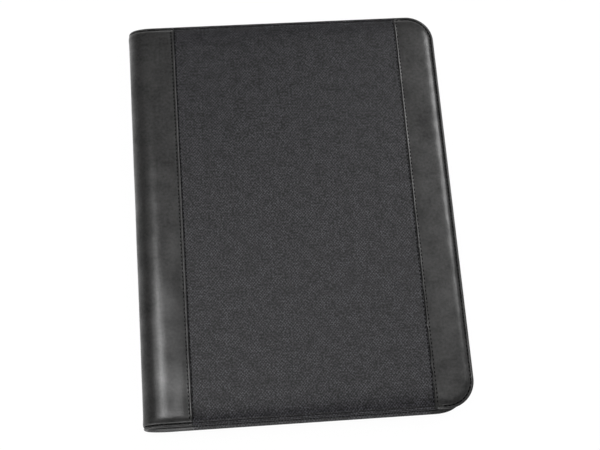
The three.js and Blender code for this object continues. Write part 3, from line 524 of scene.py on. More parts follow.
def places_along(line, at, reach):
    """Places at lengths along a line, with the direction there, taken as far as reach to either side."""
    length = lengths(line)
    here, ahead, behind = (np.column_stack([np.interp(s, length, column) for column in line.T])
                           for s in (at, at + reach, at - reach))
    run = ahead - behind
    return here, run / np.linalg.norm(run, axis=1)[:, None]


def spaced(line, pitch):
    """Evenly spaced places along a line of points, with the direction there."""
    line = np.asarray(line, float)
    total = lengths(line)[-1]
    count = max(2, int(total / pitch))
    return places_along(line, (np.arange(count) + 0.5) * total / count, 0.3)


def arc(centre_x, centre_y, radius, angles):
    """Points on a circle, at angles in radians."""
    return [(centre_x + radius * math.cos(a), centre_y + radius * math.sin(a)) for a in angles]


def rounded_outline(width, height, radius, centre_x, centre_y, steps=6):
    """A rectangle with rounded corners."""
    points = []
    for side, end, turn in ((1, 1, 0), (-1, 1, 90), (-1, -1, 180), (1, -1, 270)):
        points += arc(centre_x + side * (width / 2 - radius), centre_y + end * (height / 2 - radius),
                      radius, np.radians(turn + np.linspace(0, 90, steps)))
    return points


def closed_line(outline, z):
    """A closed outline as a line at one height."""
    return [(x, y, z) for x, y in [*outline, outline[0]]]


def free_edge(corner, inset, start, ends, fore, turn):
    """A cover's free edge, drawn in by inset: along the bottom from start, up the fore edge and back.
    The last three are the numbers of points along an end, along the fore edge and round a corner."""
    over, up = HALF_WIDTH - corner, HALF_HEIGHT - corner
    line = [(x, inset - HALF_HEIGHT) for x in np.linspace(start, over, ends)]
    line += arc(over, -up, corner - inset, np.linspace(-math.pi / 2, 0, turn)[1:])
    line += [(HALF_WIDTH - inset, y) for y in np.linspace(-up, up, fore)[1:]]
    line += arc(over, up, corner - inset, np.linspace(0, math.pi / 2, turn)[1:])
    return line + [(x, HALF_HEIGHT - inset) for x in np.linspace(over, start, ends)[1:]]


# Shape of the covers

def ease(low, high, value):
    t = np.clip((value - low) / (high - low), 0.0, 1.0)
    return t * t * (3 - 2 * t)


def ridge(middle, width, value):
    return np.exp(-(((value - middle) / width) ** 2))


def ripple(x, y, wavelength, seed):
    """Smooth random waves between about -1 and 1."""
    waves = np.random.RandomState(seed)
    total = np.zeros(np.broadcast(x, y).shape)
    for _ in range(7):
        turn, phase = waves.uniform(0, 2 * math.pi, 2)
        length = wavelength * waves.uniform(0.7, 1.5)
        total += np.sin((x * math.cos(turn) + y * math.sin(turn)) * 2 * math.pi / length + phase)
    return total / 2.6


def edge_inset(x, y):
    """How far a point is from the cover's nearest free edge."""
    over = HALF_WIDTH - COVER_CORNER
    up = HALF_HEIGHT - COVER_CORNER
    dx, dy = x - over, np.abs(y) - up
    straight = np.minimum(HALF_WIDTH - x, HALF_HEIGHT - np.abs(y))
    return np.where((dx > 0) & (dy > 0), COVER_CORNER - np.hypot(dx, dy), straight)


def crown(inset, rise):
    """A quick roll up beside the stitches, then a long flat curve."""
    past = np.clip(inset - CROWN_START, 0.0, None)
    roll = 1 - np.exp(-past / ROLL_LENGTH)
    swell = 1 - (1 - np.clip(past / CROWN_RUN, 0.0, 1.0)) ** 2.2
    return LIP_TOP + rise * (ROLL_SHARE * roll + (1 - ROLL_SHARE) * swell)


def groove_depth(rise):
    """The sewn groove is deeper where the padding stands higher beside it."""
    return GROOVE_DEPTH + GROOVE_SHARE * (rise - FABRIC_RISE)


def padded_height(inset, rise):
    """Rolled lip, sewn groove and crown of the padded cover, by distance from the edge."""
    outer = np.clip((LIP_CREST - inset) / LIP_CREST, 0.0, 1.0) ** 2
    inner = 0.5 * ease(LIP_CREST, GROOVE_INSET, inset) * (1 - ease(GROOVE_INSET, GROOVE_INSET + 0.9, inset))
    groove = groove_depth(rise) * ridge(GROOVE_INSET, GROOVE_HALF, inset)
    return crown(inset, rise) - LIP_DOME * (outer + inner) - groove


def leather_height(x, y, inset, seam_away, seed, pull, reach):
    """The leather's outer surface, with its folded edge and stitch line beside the seam.
    The stitches pull the leather down by pull, as far as reach to either side."""
    inside = ease(GROOVE_INSET, GROOVE_END, inset)
    bead = BEAD_RISE * ridge(BEAD_AT, BEAD_WIDTH, seam_away) * (0.35 + 0.65 * inside)
    ends = ease(*GATHERED, np.abs(y))
    pulled = pull * (1 + 0.7 * ends) * ridge(SEWN_AT, reach, seam_away)
    sewn_in = (DENT_DEPTH * ridge(SEWN_AT, DENT_WIDTH, seam_away) + pulled) * inside
    fold = FOLD_DROP * np.clip((FOLD_RUN - seam_away) / FOLD_RUN, 0.0, 1.0) ** 2
    puckers = ripple(x, y, PUCKER_LENGTH, seed) * ridge(5.5, 3.5, inset) * (PUCKER_RISE + 0.03 * ends)
    slow = ripple(x, y * 0.5, LEATHER_WAVE, seed + 1) * LEATHER_WAVE_RISE
    slow = slow * ease(5.0, 12.0, inset) * ease(3.5, 7.0, seam_away)
    return padded_height(inset, LEATHER_RISE) + bead - sewn_in - fold + puckers + slow


def fabric_height(x, y, inset):
    away = np.minimum(x - SPINE_SEAM, FORE_SEAM - x)
    pressed = PRESSED_DEPTH * ridge(0.0, PRESSED_WIDTH, away) * ease(GROOVE_INSET, GROOVE_END, inset)
    puckers = ripple(x * 1.3, y, FABRIC_PUCKER, FABRIC_SEED) * ridge(6.0, 4.0, inset) * FABRIC_PUCKER_RISE
    easing = np.clip((inset - 7.0) / FABRIC_SLOPE_RUN, 0.0, 1.0)
    broad = FABRIC_SLOPE * (np.clip(inset - 3.0, 0.0, 4.0) + FABRIC_SLOPE_RUN / 2 * (1 - (1 - easing) ** 2))
    slow = ripple(x, y, FABRIC_WAVE, FABRIC_SEED + 1) * FABRIC_WAVE_RISE * ease(6.0, 20.0, inset)
    return padded_height(inset, FABRIC_RISE) + broad - pressed + puckers + slow


def fore_edge_height(x, y, inset):
    """The outer surface of the fore-edge strip."""
    return leather_height(x, y, inset, x - FORE_SEAM, FORE_SEED, *FORE_PULL)


def underside(inset, rise):
    """The cover's inner surface: level at the lip, and as far as the skin is thick below the crown."""
    return np.where(inset <= LIP_INNER, LIP_UNDER, crown(inset, rise) - SKIN)


# Rows round a cover's section. The lip's side is given as [inset, height].
LIP_SIDE = np.array([
    (3.2, LIP_UNDER - 1.6), (2.5, LIP_UNDER - 1.35), (1.8, LIP_UNDER - 0.9), (1.1, LIP_UNDER - 0.25),
    (0.5, LIP_UNDER + 0.45), (0.12, LIP_UNDER + 1.05), (0.0, LIP_UNDER + 1.4), (0.06, LIP_TOP - 0.72)])
EDGE_INSETS = np.array([0.2, 0.4, 0.65, 0.95, 1.3, 1.6, 1.85, 2.1, 2.3, 2.42, 2.5, 2.6, 2.75, 2.95, 3.2, 3.5,
                        3.9, 4.4, 5.1, 5.8, 6.6, 7.6, 8.8, 10.3, 12.0, 14.0, 16.0])
SEAM_STEPS = np.array([0.0, 0.15, 0.35, 0.55, 0.8, 1.0, 1.2, 1.4, 1.65, 1.9, 2.15, 2.4, 2.6, 2.8, 3.0, 3.25,
                       3.6, 4.1, 4.8, 5.8, 7.5, 9.5, 12.0, 14.0])
HIDDEN = np.array([LIP_INNER, LIP_INNER + 0.4, 12.0, 22.0, 60.0])


def section_rows():
    """The section's rows, over the outside from the bottom edge to the top edge and back inside.
    Returns y, inset, the height where the lip gives it, and whether the row is on the inside."""
    flat = HALF_HEIGHT - EDGE_INSETS[-1]
    inner = np.linspace(-flat, flat, 98)[1:-1]
    side = HALF_HEIGHT - LIP_SIDE[:, 0]
    edge = HALF_HEIGHT - EDGE_INSETS
    hidden = HALF_HEIGHT - HIDDEN
    y = np.concatenate([-side, -edge, inner, edge[::-1], side[::-1], hidden, -hidden[::-1]])
    given = np.full(len(y), np.nan)
    given[: len(side)] = LIP_SIDE[:, 1]
    last = len(side) * 2 + len(edge) * 2 + len(inner)
    given[last - len(side): last] = LIP_SIDE[::-1, 1]
    inside = np.arange(len(y)) >= last
    return y, HALF_HEIGHT - np.abs(y), given, inside


def section_heights(top, rise, inset, given, inside):
    return np.where(inside, underside(inset, rise), np.where(np.isnan(given), top, given))


def lip_out(points):
    """The back cover's bottom lip stands out a little past the front one, and its corners are rounder."""
    low = ease(-HALF_HEIGHT + 22.0, -HALF_HEIGHT + 2.0, points[..., 1])
    points[..., 1] -= LIP_STANDS_OUT * low * (1 - ease(112.0, 127.0, points[..., 0]))
    over = np.clip(points[..., 0] - HALF_WIDTH + CORNER_RADIUS, 0.0, None)
    up = np.clip(np.abs(points[..., 1]) - HALF_HEIGHT + CORNER_RADIUS, 0.0, None)
    reach = np.hypot(over, up) + 1e-6
    tuck = CORNER_TUCK * 2 * over * up / reach ** 2 * ease(8.0, 24.0, reach) / reach
    points[..., 0] -= tuck * over
    points[..., 1] -= tuck * up * np.sign(points[..., 1])
    return points


def turned_over(points, back):
    """Points of the front cover, or the same places on the back one."""
    return mirrored(points) if back else points


def outside(points, back):
    """As turned_over, for what lies on the covers' outside."""
    return lip_out(mirrored(points)) if back else points


def centre_cover(name, back):
    """The woven panel between the two seams."""
    y, inset, given, inside = section_rows()
    sides = np.array([0.0, 0.3, 0.7, 1.2, 1.8, 2.6, 3.6, 5.0])
    low, high = SPINE_SEAM + 0.05, FORE_SEAM - 0.05
    middle = np.linspace(low + sides[-1], high - sides[-1], 56)[1:-1]
    rings = []
    for x in np.concatenate([low + sides, middle, high - sides[::-1]]):
        across = np.full(len(y), x)
        z = section_heights(fabric_height(across, y, inset), FABRIC_RISE, inset, given, inside)
        rings.append(np.column_stack([across, y, z]))
    rings = np.array(rings)
    return loft(name, outside(rings, back), "woven", rings[..., :2])


def spine_curve():
    """The folded leather's outer line from the seam to the middle of the spine:
    places in X and Z, outward directions, and lengths along it."""
    places = [(SPINE_SEAM - step, THICKNESS) for step in (*SEAM_STEPS, 16.5)]
    kept = len(places)
    for angle in np.linspace(0.0, math.pi / 2, 500)[1:]:
        u = ROUND_REACH * math.sin(angle) ** (2 / ROUND_SQUARENESS)
        w = MIDDLE * max(math.cos(angle), 0.0) ** (2 / ROUND_SQUARENESS)
        places.append((ROUND_START - u, MIDDLE + w))
    places = np.array(places)
    length = lengths(places)
    stations = np.concatenate([length[:kept], np.linspace(length[kept - 1], length[-1], 30)[1:]])
    x = np.interp(stations, length, places[:, 0])
    z = np.interp(stations, length, places[:, 1])
    normal = np.stack([np.gradient(z, stations), -np.gradient(x, stations)], axis=1)
    normal[0], normal[-1] = (0, 1), (-1, 0)
    normal /= np.linalg.norm(normal, axis=1)[:, None]
    return np.stack([x, z], axis=1), normal, stations


def on_spine(place, normal, y, height):
    """Points at heights above or below the spine's outer line, drawn in towards the spine's ends."""
    inset = np.clip(HALF_HEIGHT - np.abs(y), 0.0, None)
    roundness = max(0.0, -normal[0])
    flush = FLUSH * roundness * (THICKNESS - crown(inset, LEATHER_RISE))
    offset = height - THICKNESS + flush
    drawn = END_DRAW * np.clip(1 - inset / END_FADE, 0.0, 1.0) ** 2 * roundness
    places = place + normal * offset[:, None]
    return np.column_stack([places[:, 0], y - np.sign(y) * drawn, places[:, 1]])


def spine_surface(along, y, inset):
    """The spine's padding stays full until shortly before its ends."""
    past = np.clip(inset - GROOVE_INSET, 0.0, None)
    fuller = inset + past * (SPINE_END_QUICK - 1)
    return leather_height(SPINE_SEAM - along, y, fuller, along, SPINE_SEED, *SPINE_PULL)


def spine_cover(name, back):
    """The leather from one cover's seam to the middle of the spine, in one piece."""
    y, inset, given, inside = section_rows()
    rings, marks = [], []
    for place, normal, along in zip(*spine_curve()):
        z = section_heights(spine_surface(along, y, inset), LEATHER_RISE, inset, given, inside)
        rings.append(on_spine(place, normal, y, z))
        marks.append(np.column_stack([np.full(len(y), SPINE_SEAM - along), y]))
    return loft(name, outside(np.array(rings), back), "leather", marks)


def fore_edge_outline(inset, step=1.8):
    """The fore-edge strip's free edge, drawn in by inset, from the bottom seam to the top seam."""
    fore = int(2 * (HALF_HEIGHT - COVER_CORNER) / step)
    return free_edge(COVER_CORNER, inset, FORE_SEAM, 4, fore, 24)


def triangulated(border, inside):
    """Triangles that fill a border through the points inside it. Returns the points and triangles."""
    flat = [Vector(p) for p in border] + [Vector(p) for p in inside]
    made = delaunay_2d_cdt(flat, [], [list(range(len(border)))], 1, 1e-5)
    return np.array([tuple(v) for v in made[0]]), [tuple(face) for face in made[2]]


def fore_edge_cover(name, back):
    """The leather strip along the fore edge, with both rounded corners."""
    rim = fore_edge_outline(EDGE_INSETS[0])
    seam = [(FORE_SEAM, y) for y in np.linspace(rim[-1][1], rim[0][1], 190)[1:-1]]
    border = rim + seam
    inside = []
    for inset in EDGE_INSETS[1:]:
        inside += [p for p in fore_edge_outline(inset) if p[0] > FORE_SEAM + 0.1]
    for step in SEAM_STEPS[1:-4]:
        inside += [(FORE_SEAM + step, y) for y in np.arange(-168.0, 168.1, 1.9)]
    for x in np.arange(FORE_SEAM + 7.4, HALF_WIDTH - 16.0, 2.2):
        inside += [(x, y) for y in np.arange(-153.0, 153.1, 2.3)]
    inside = np.array(inside)
    inside = inside[edge_inset(inside[:, 0], inside[:, 1]) > EDGE_INSETS[0] + 0.2]
    xy, triangles = triangulated(border, inside)
    inset = edge_inset(xy[:, 0], xy[:, 1])
    top = fore_edge_height(xy[:, 0], xy[:, 1], inset)
    nearest = [int(np.argmin(np.hypot(xy[:, 0] - p[0], xy[:, 1] - p[1]))) for p in border]
    count = len(xy)
    under = underside(inset, LEATHER_RISE)
    points = np.concatenate([np.column_stack([xy, top]), np.column_stack([xy, under])])
    marks = np.concatenate([xy, xy])
    faces = triangles + [(a + count, c + count, b + count) for a, b, c in triangles]
    rings = [nearest]
    for at, z in LIP_SIDE[:0:-1]:
        side = np.array(fore_edge_outline(at) + seam)
        rings.append(list(range(len(points), len(points) + len(side))))
        points = np.concatenate([points, np.column_stack([side, np.full(len(side), z)])])
        marks = np.concatenate([marks, side])
    rings.append([i + count for i in nearest])
    size = len(border)
    for upper, lower in zip(rings, rings[1:]):
        for j in range(size):
            k = (j + 1) % size
            faces.append((upper[j], lower[j], lower[k], upper[k]))
    return mesh_piece(name, outside(points, back), faces, "leather", marks)


ROUND_TO_FRONT = ("spine", "front", (-0.130, 0, 0.0135), (-0.1165, 0, 0.027))
BACK_TO_ROUND = ("back", "spine", (-0.1165, 0, 0.0), (-0.130, 0, 0.0135))
COVERS = (("front", False, ROUND_TO_FRONT), ("back", True, BACK_TO_ROUND))

for cover, is_back, over_spine in COVERS:
    panel = attach(centre_cover(f"{cover}_woven_cover", is_back), cover, "woven_panel",
                   f"{cover}_centre_panel")
    strip = attach(fore_edge_cover(f"{cover}_fore_edge_leather", is_back), cover, "leather",
                   f"{cover}_fore_edge_panel")
    covered = [f"{cover}_spine_side_panel"] + ([] if is_back else ["spine_wrap"])
    wrap = attach(spine_cover(f"{cover}_spine_leather", is_back), over_spine, "leather", *covered)


# Stitches and teeth, laid by nodes on points that carry their direction

def placed_along_run(tree, given, put, shape, scale=None):
    """Puts a shape on every point, turned to the point's direction, as plain faces."""
    run = new_node(tree, "GeometryNodeInputNamedAttribute", {"Name": "run"}, data_type="FLOAT_VECTOR")
    turn = new_node(tree, "FunctionNodeAlignRotationToVector", {"Vector": run.outputs["Attribute"]}, axis="X")
    laid = new_node(tree, "GeometryNodeInstanceOnPoints", {
        "Points": given["Geometry"], "Instance": shape, "Rotation": turn.outputs["Rotation"]})
    if scale is not None:
        wire(tree, scale, laid.inputs["Scale"])
    real = new_node(tree, "GeometryNodeRealizeInstances", {"Geometry": laid.outputs["Instances"]})
    dressed = new_node(tree, "GeometryNodeSetMaterial", {
        "Geometry": real.outputs["Geometry"], "Material": given["Material"]})
    wire(tree, dressed.outputs["Geometry"], put["Geometry"])


def points_tree(name, **inputs):
    """A tree that takes points, a material and what else it needs."""
    return new_group(name, "GeometryNodeTree", {"Geometry": "Geometry", "Material": "Material", **inputs},
                     {"Geometry": "Geometry"})


def stitch_tree():
    """A rounded stitch on every point, as long and thick as its inputs say, a little uneven."""
    tree, given, put = points_tree("sewn_stitches", Length="Float", Thread="Float", Unevenness="Float",
                                   Seed="Int")
    ball = new_node(tree, "GeometryNodeMeshUVSphere", {"Segments": 6, "Rings": 6, "Radius": 0.5})
    shortest = maths(tree, "SUBTRACT", 1.0, given["Unevenness"])
    uneven = new_node(tree, "FunctionNodeRandomValue", {2: shortest, 3: 1.0, "Seed": given["Seed"]},
                      data_type="FLOAT")
    length = maths(tree, "MULTIPLY", given["Length"], uneven.outputs[1])
    size = new_node(tree, "ShaderNodeCombineXYZ", {0: length, 1: given["Thread"], 2: given["Thread"]})
    placed_along_run(tree, given, put, ball.outputs["Mesh"], size.outputs[0])
    return tree


def tooth_tree():
    """A moulded tooth on every point of a zip's path."""
    tree, given, put = points_tree("zip_teeth", Tooth="Object")
    tooth = new_node(tree, "GeometryNodeObjectInfo", {"Object": given["Tooth"]})
    placed_along_run(tree, given, put, tooth.outputs["Geometry"])
    return tree


def nodes_result(name, tree, points, runs, look, **values):
    """Runs a tree on points in millimetres and keeps the result as a plain mesh."""
    mesh = bpy.data.meshes.new(name)
    mesh.from_pydata((np.asarray(points, float) * MM).tolist(), [], [])
    run = mesh.attributes.new("run", "FLOAT_VECTOR", "POINT")
    run.data.foreach_set("vector", np.asarray(runs, float).ravel())
    carrier = in_scene(name + "_points", mesh)
    modifier = carrier.modifiers.new("nodes", "NODES")
    modifier.node_group = tree
    values["Material"] = LOOKS[look]
    for socket in tree.interface.items_tree:
        if socket.in_out == "INPUT" and socket.name in values:
            modifier[socket.identifier] = values[socket.name]
    ready = carrier.evaluated_get(bpy.context.evaluated_depsgraph_get())
    plain = bpy.data.meshes.new_from_object(ready)
    plain.name = name
    bpy.data.objects.remove(carrier)
    plain.shade_smooth()
    plain.set_sharp_from_angle(angle=math.radians(50))
    return in_scene(name, plain)


STITCHES = stitch_tree()
TEETH = tooth_tree()


def sewn(name, lines, body, back=False, length=STITCH_LENGTH, thread=THREAD, pitch=STITCH_PITCH, seed=1,
         look="thread"):
    """One piece of stitches along several lines in space."""
    placed = [spaced(line, pitch) for line in lines]
    points = outside(np.concatenate([p for p, r in placed]), back)
    runs = np.concatenate([r for p, r in placed]) * (1, 1, -1 if back else 1)
    piece = nodes_result(name, STITCHES, points, runs, look, Length=length * MM, Thread=thread * 2 * MM,
                         Unevenness=UNEVENNESS, Seed=seed)
    return attach(piece, body, "zip_tape")


def down_a_seam(x, height):
    y = np.linspace(-HALF_HEIGHT + 4.4, HALF_HEIGHT - 4.4, 240)
    across = np.full(len(y), x)
    return np.column_stack([across, y, height(across, y, HALF_HEIGHT - np.abs(y)) + THREAD_UP])


def in_the_groove(path, rise):
    """The stitch line in a cover's groove, along a path in X and Y."""
    return np.column_stack([path, np.full(len(path), LIP_TOP - groove_depth(rise) - 0.1)])


def along_the_fabric(side):
    """The stitch line at one end of the centre panel."""
    x = np.linspace(SPINE_SEAM + 1.2, FORE_SEAM - 0.5, 160)
    path = np.column_stack([x, np.full(len(x), side * (HALF_HEIGHT - GROOVE_INSET))])
    return in_the_groove(path, FABRIC_RISE)


def round_the_spine(side):
    """The stitch line in the groove at one end of the spine."""
    y = np.array([side * (HALF_HEIGHT - GROOVE_INSET)])
    line = []
    for place, normal, along in zip(*spine_curve()):
        if along >= 1.0:
            height = spine_surface(along, y, np.array([GROOVE_INSET])) + THREAD_UP
            line.append(on_spine(place, normal, y, height)[0])
    return line


for cover, is_back, over_spine in COVERS:
    lines = [in_the_groove(fore_edge_outline(GROOVE_INSET, 1.2), LEATHER_RISE),
             down_a_seam(SPINE_SEAM + FABRIC_SEWN_AT, fabric_height),
             down_a_seam(FORE_SEAM - FABRIC_SEWN_AT, fabric_height),
             down_a_seam(FORE_SEAM + SEWN_AT, fore_edge_height)]
    sewn(f"{cover}_cover_stitches", lines, cover, is_back, seed=3)
    # The paler edge thread here is a painted highlight along the lip at both ends of the woven panel.
    sewn(f"{cover}_edge_stitches", [along_the_fabric(1), along_the_fabric(-1)], cover, is_back,
         thread=EDGE_THREAD, seed=5, look="edge_thread")
    lines = [down_a_seam(SPINE_SEAM - SEWN_AT, lambda x, y, i: spine_surface(SPINE_SEAM - x, y, i)),
             round_the_spine(1), round_the_spine(-1)]
    sewn(f"{cover}_spine_stitches", lines, over_spine, is_back, seed=4)


# Zip

def zip_line(start=ZIP_START):
    """The zip's path from its top end round the fore edge to its bottom end."""
    return np.array(free_edge(CORNER_RADIUS, ZIP_INSET, start, 90, 119, 20)) * (1, -1)


def strip_along(path, section, sway):
    """The rings of a band along a path in X and Y, and the places of its weave.
    The section is given as [out, height] pairs."""
    run = np.gradient(path, axis=0)
    run /= np.linalg.norm(run, axis=1)[:, None]
    out = np.column_stack([-run[:, 1], run[:, 0]])
    girth = lengths(section)
    lean = (section[:, 1:] - section[0, 1]) / 5
    rings, marks = [], []
    for place, direction, s in zip(path, out, lengths(path)):
        drift = sway * math.sin(s / 6.3) * math.sin(s / 17.0)
        rings.append(np.column_stack([place + direction * (section[:, :1] + drift * lean), section[:, 1]]))
        marks.append(np.column_stack([np.full(len(section), s), girth]))
    return np.array(rings), marks


def moulded_tooth():
    """One tooth: X along the zip, Z from the zip's middle towards its own tape."""
    side = [(1.1, 3.0), (1.1, 1.7), (0.72, 0.9), (0.86, 0.1), (0.84, -0.6), (0.55, -1.0)]
    outline = side + [(-x, z) for x, z in side[::-1]]
    rings = []
    for y, shrink in ((-1.3, 0.82), (-1.0, 1.0), (1.0, 1.0), (1.3, 0.82)):
        rings.append([(x * shrink, y, 1.0 + (z - 1.0) * (0.5 + shrink / 2)) for x, z in outline])
    return loft("tooth", rings, "teeth")


def tooth_row(name, first, back):
    path = zip_line()
    at = np.arange(first, lengths(path)[-1] - 1.2, TOOTH_PITCH)
    places, runs = places_along(path, at, 0.8)
    level = np.zeros(len(at))
    tooth = moulded_tooth()
    piece = nodes_result(name, TEETH, np.column_stack([places, level + MIDDLE]),
                         np.column_stack([runs, level]), "teeth", Tooth=tooth)
    bpy.data.objects.remove(tooth)
    if back:
        flip(piece.data)
    return piece


def flip(mesh):
    """Mirrors a finished mesh from the front cover to the back, faces still outwards."""
    place = np.empty(len(mesh.vertices) * 3)
    mesh.vertices.foreach_get("co", place)
    place = place.reshape(-1, 3)
    place[:, 2] = THICKNESS * MM - place[:, 2]
    mesh.vertices.foreach_set("co", place.ravel())
    mesh.flip_normals()


def tape_tail_outline():
    """The plain end of the tape beside the spine, in X and Z."""
    side = np.linspace(0, 1.55, 14)
    turn = [(SPINE_CENTRE - TAIL_ACROSS * math.sin(a), MIDDLE + TAIL_UP * math.cos(a)) for a in side]
    return [(ZIP_START - 0.3, TAPE_LOW), (ZIP_START - 0.3, RIM_TOP), *turn, (-110.8, 13.65),
            (-107.6, TAPE_LOW)]


def divided(outline, step):
    """The same closed outline with points at most a step apart."""
    points = []
    for (x0, y0), (x1, y1) in zip(outline, [*outline[1:], outline[0]]):
        count = max(1, math.ceil(math.hypot(x1 - x0, y1 - y0) / step))
        points += [(x0 + (x1 - x0) * i / count, y0 + (y1 - y0) * i / count) for i in range(count)]
    return np.array(points)


def away_from(outline, points):
    """Each point's distance from the outline, and whether it is inside."""
    a, b = outline, np.roll(outline, -1, axis=0)
    best = np.full(len(points), np.inf)
    crossings = np.zeros(len(points), int)
    for (ax, ay), (bx, by) in zip(a, b):
        edge = np.array([bx - ax, by - ay])
        t = np.clip(((points[:, 0] - ax) * edge[0] + (points[:, 1] - ay) * edge[1]) / (edge @ edge), 0, 1)
        best = np.minimum(best, np.hypot(points[:, 0] - ax - t * edge[0], points[:, 1] - ay - t * edge[1]))
        if ay != by:
            spans = (points[:, 1] >= min(ay, by)) & (points[:, 1] < max(ay, by))
            crossings += spans & (points[:, 0] < ax + (points[:, 1] - ay) * edge[0] / edge[1])
    return best, crossings % 2 == 1


PLATE_ROWS = 0.12, 0.3, 0.7, 1.2, 1.8, 2.5
PLATE_CLEAR = 3.2
PLATE_SOFT = 0.3


def cloth_plate(name, outline, low, high, look, relief=None, step=3.0, place=None):
    """A thin sheet with soft edges. `relief` gives how far its low and its high face are moved."""
    border = divided(outline, step)
    u = np.arange(border[:, 0].min(), border[:, 0].max(), step)
    v = np.arange(border[:, 1].min(), border[:, 1].max(), step)
    grid = np.stack(np.meshgrid(u + step / 2, v + step / 2), -1).reshape(-1, 2)
    run = np.roll(border, -1, axis=0) - np.roll(border, 1, axis=0)
    out = np.column_stack([run[:, 1], -run[:, 0]]) / np.linalg.norm(run, axis=1)[:, None]
    area = np.sum(border[:, 0] * np.roll(border[:, 1], -1) - np.roll(border[:, 0], -1) * border[:, 1])
    candidates = np.concatenate([grid, *(border - out * math.copysign(row, area) for row in PLATE_ROWS)])
    need = np.concatenate([np.full(len(grid), PLATE_CLEAR), np.repeat(PLATE_ROWS, len(border)) * 0.9])
    away, inside = away_from(border, candidates)
    xy, triangles = triangulated(border, candidates[inside & (away >= need)])
    away = away_from(border, xy)[0]
    away[away < 1e-3] = 0
    middle, half = (low + high) / 2, (high - low) / 2
    full = half * np.sqrt(np.clip(away / PLATE_SOFT, 0, 1))
    lower, upper = relief(xy[:, 0], xy[:, 1], away) if relief else (0.0, 0.0)
    bottom, top = middle - full + lower, middle + full + upper
    join = (bottom + top) / 2
    bottom, top = np.where(away == 0, join, bottom), np.where(away == 0, join, top)
    count = len(xy)
    points = np.concatenate([np.column_stack([xy, top]), np.column_stack([xy, bottom])])
    other = [i if away[i] == 0 else i + count for i in range(count)]
    faces = triangles + [(other[a], other[c], other[b]) for a, b, c in triangles]
    used = sorted({i for face in faces for i in face})
    short = {old: new for new, old in enumerate(used)}
    faces = [tuple(short[i] for i in face) for face in faces]
    marks = np.concatenate([xy, xy])[used]
    points = points[used]
    return mesh_piece(name, place(points) if place else points, faces, look, marks)


TAPE_SECTION = rounded_outline(2 * TAPE_HALF, RIM_TOP - TAPE_LOW, 0.25, 0.0, (RIM_TOP + TAPE_LOW) / 2, 3)
CORD_SECTION = rounded_outline(CORD_WIDTH, CORD_HEIGHT, 0.5, 0.0, MIDDLE + CORD_ABOVE, 3)
TAIL_BENDS = {"front": ("spine", "front", (-0.1165, 0, 0.027), (-0.103, 0, 0.027)),
              "back": ("back", "spine", (-0.103, 0, 0.0), (-0.1165, 0, 0.0))}
ENDS = (("top", 1), ("bottom", -1))


def stood_up(points, side, lift=0.0, back=False):
    """A flat sheet's points, stood up at one end of the spine, where the tape runs."""
    away = side * (TAPE_LINE + lift + points[:, 2])
    return turned_over(np.column_stack([points[:, 0], away, points[:, 1]]), back)


def tail_relief(u, v, d):
    hem = TAIL_HEM * ridge(1.2, 0.7, d)
    return -hem, hem


for cover, is_back, over_spine in COVERS:
    for part, section, look, sway, nodes in (
            ("zip_tape", TAPE_SECTION, "tape", TAPE_SWAY, [f"{cover}_zip_tape"]),
            ("zip_cord", CORD_SECTION, "thread", 0.0, [])):
        rings, marks = strip_along(zip_line(ZIP_START + 0.4), np.array(section), sway)
        piece = loft(f"{cover}_{part}_band", turned_over(rings, is_back), look, marks)
        attach(piece, cover, "zip_tape", *nodes)
    row = tooth_row(f"{cover}_moulded_teeth", TOOTH_PITCH if is_back else TOOTH_PITCH / 2, is_back)
    attach(row, cover, "zip_teeth", f"{cover}_zip_teeth")
    for end, side in ENDS:
        tail = cloth_plate(f"{cover}_tape_tail_{end}", tape_tail_outline(), -TAPE_HALF, TAPE_HALF, "tape",
                           tail_relief, 1.6, lambda points: stood_up(points, side, back=is_back))
        attach(tail, TAIL_BENDS[cover], "zip_tape", f"{cover}_zip_tail_{end}")


# Padding, linings and the spine's inside

def cover_outline(inset, left):
    """The cover's outline drawn in by inset, and square at its left end."""
    line = free_edge(CORNER_RADIUS, inset, left, 60, 60, 14)
    end = HALF_HEIGHT - inset
    return np.array(line + [(left, y) for y in np.linspace(end, -end, 70)[1:-1]])


def stacked(name, sections, left, look, back, wave=None):
    """A body through outlines of the cover. Each section is [inset, how far its left end moves, height]."""
    rings = []
    for inset, shift, height in sections:
        line = cover_outline(inset, left + shift)
        z = np.full(len(line), float(height))
        if wave is not None:
            z += wave(line[:, 0], line[:, 1], inset)
        rings.append(np.column_stack([line, z]))
    rings = np.array(rings)
    return loft(name, turned_over(rings, back), look, rings[..., :2])


def foam_sections():
    top = [(inset, inset - 7.2, float(crown(inset, FABRIC_RISE)) - 1.35) for inset in
           (7.6, 8.4, 9.6, 11.2, 13.2, 16.0, 24.0)]
    return [(7.2, 0.0, 22.95), (7.2, 0.0, 24.0)] + top


def lining_sections():
    floor = [(7.7, 0.3, 20.0), (8.4, 1.0, LINING_UNDER), (9.6, 2.2, 19.93), (11.0, 3.6, 19.96),
             (13.0, 5.6, LINING_UNDER), (16.0, 8.6, LINING_UNDER), (24.0, 16.0, LINING_UNDER)]
    return floor[::-1] + [(7.2, 0.1, 20.3), (6.6, 0.0, 20.8), (6.6, 0.0, 22.5), (7.0, 0.4, 22.62),
                          (7.4, 0.8, 22.5), (7.4, 0.8, 20.75), (9.0, 2.0, 20.7)]


def lining_wave(x, y, inset):
    near = 1.0 if 8.0 < inset < 15.0 else 0.0
    return near * 0.07 * (ripple(x, y, 10.0, LINING_SEED) - 0.6)


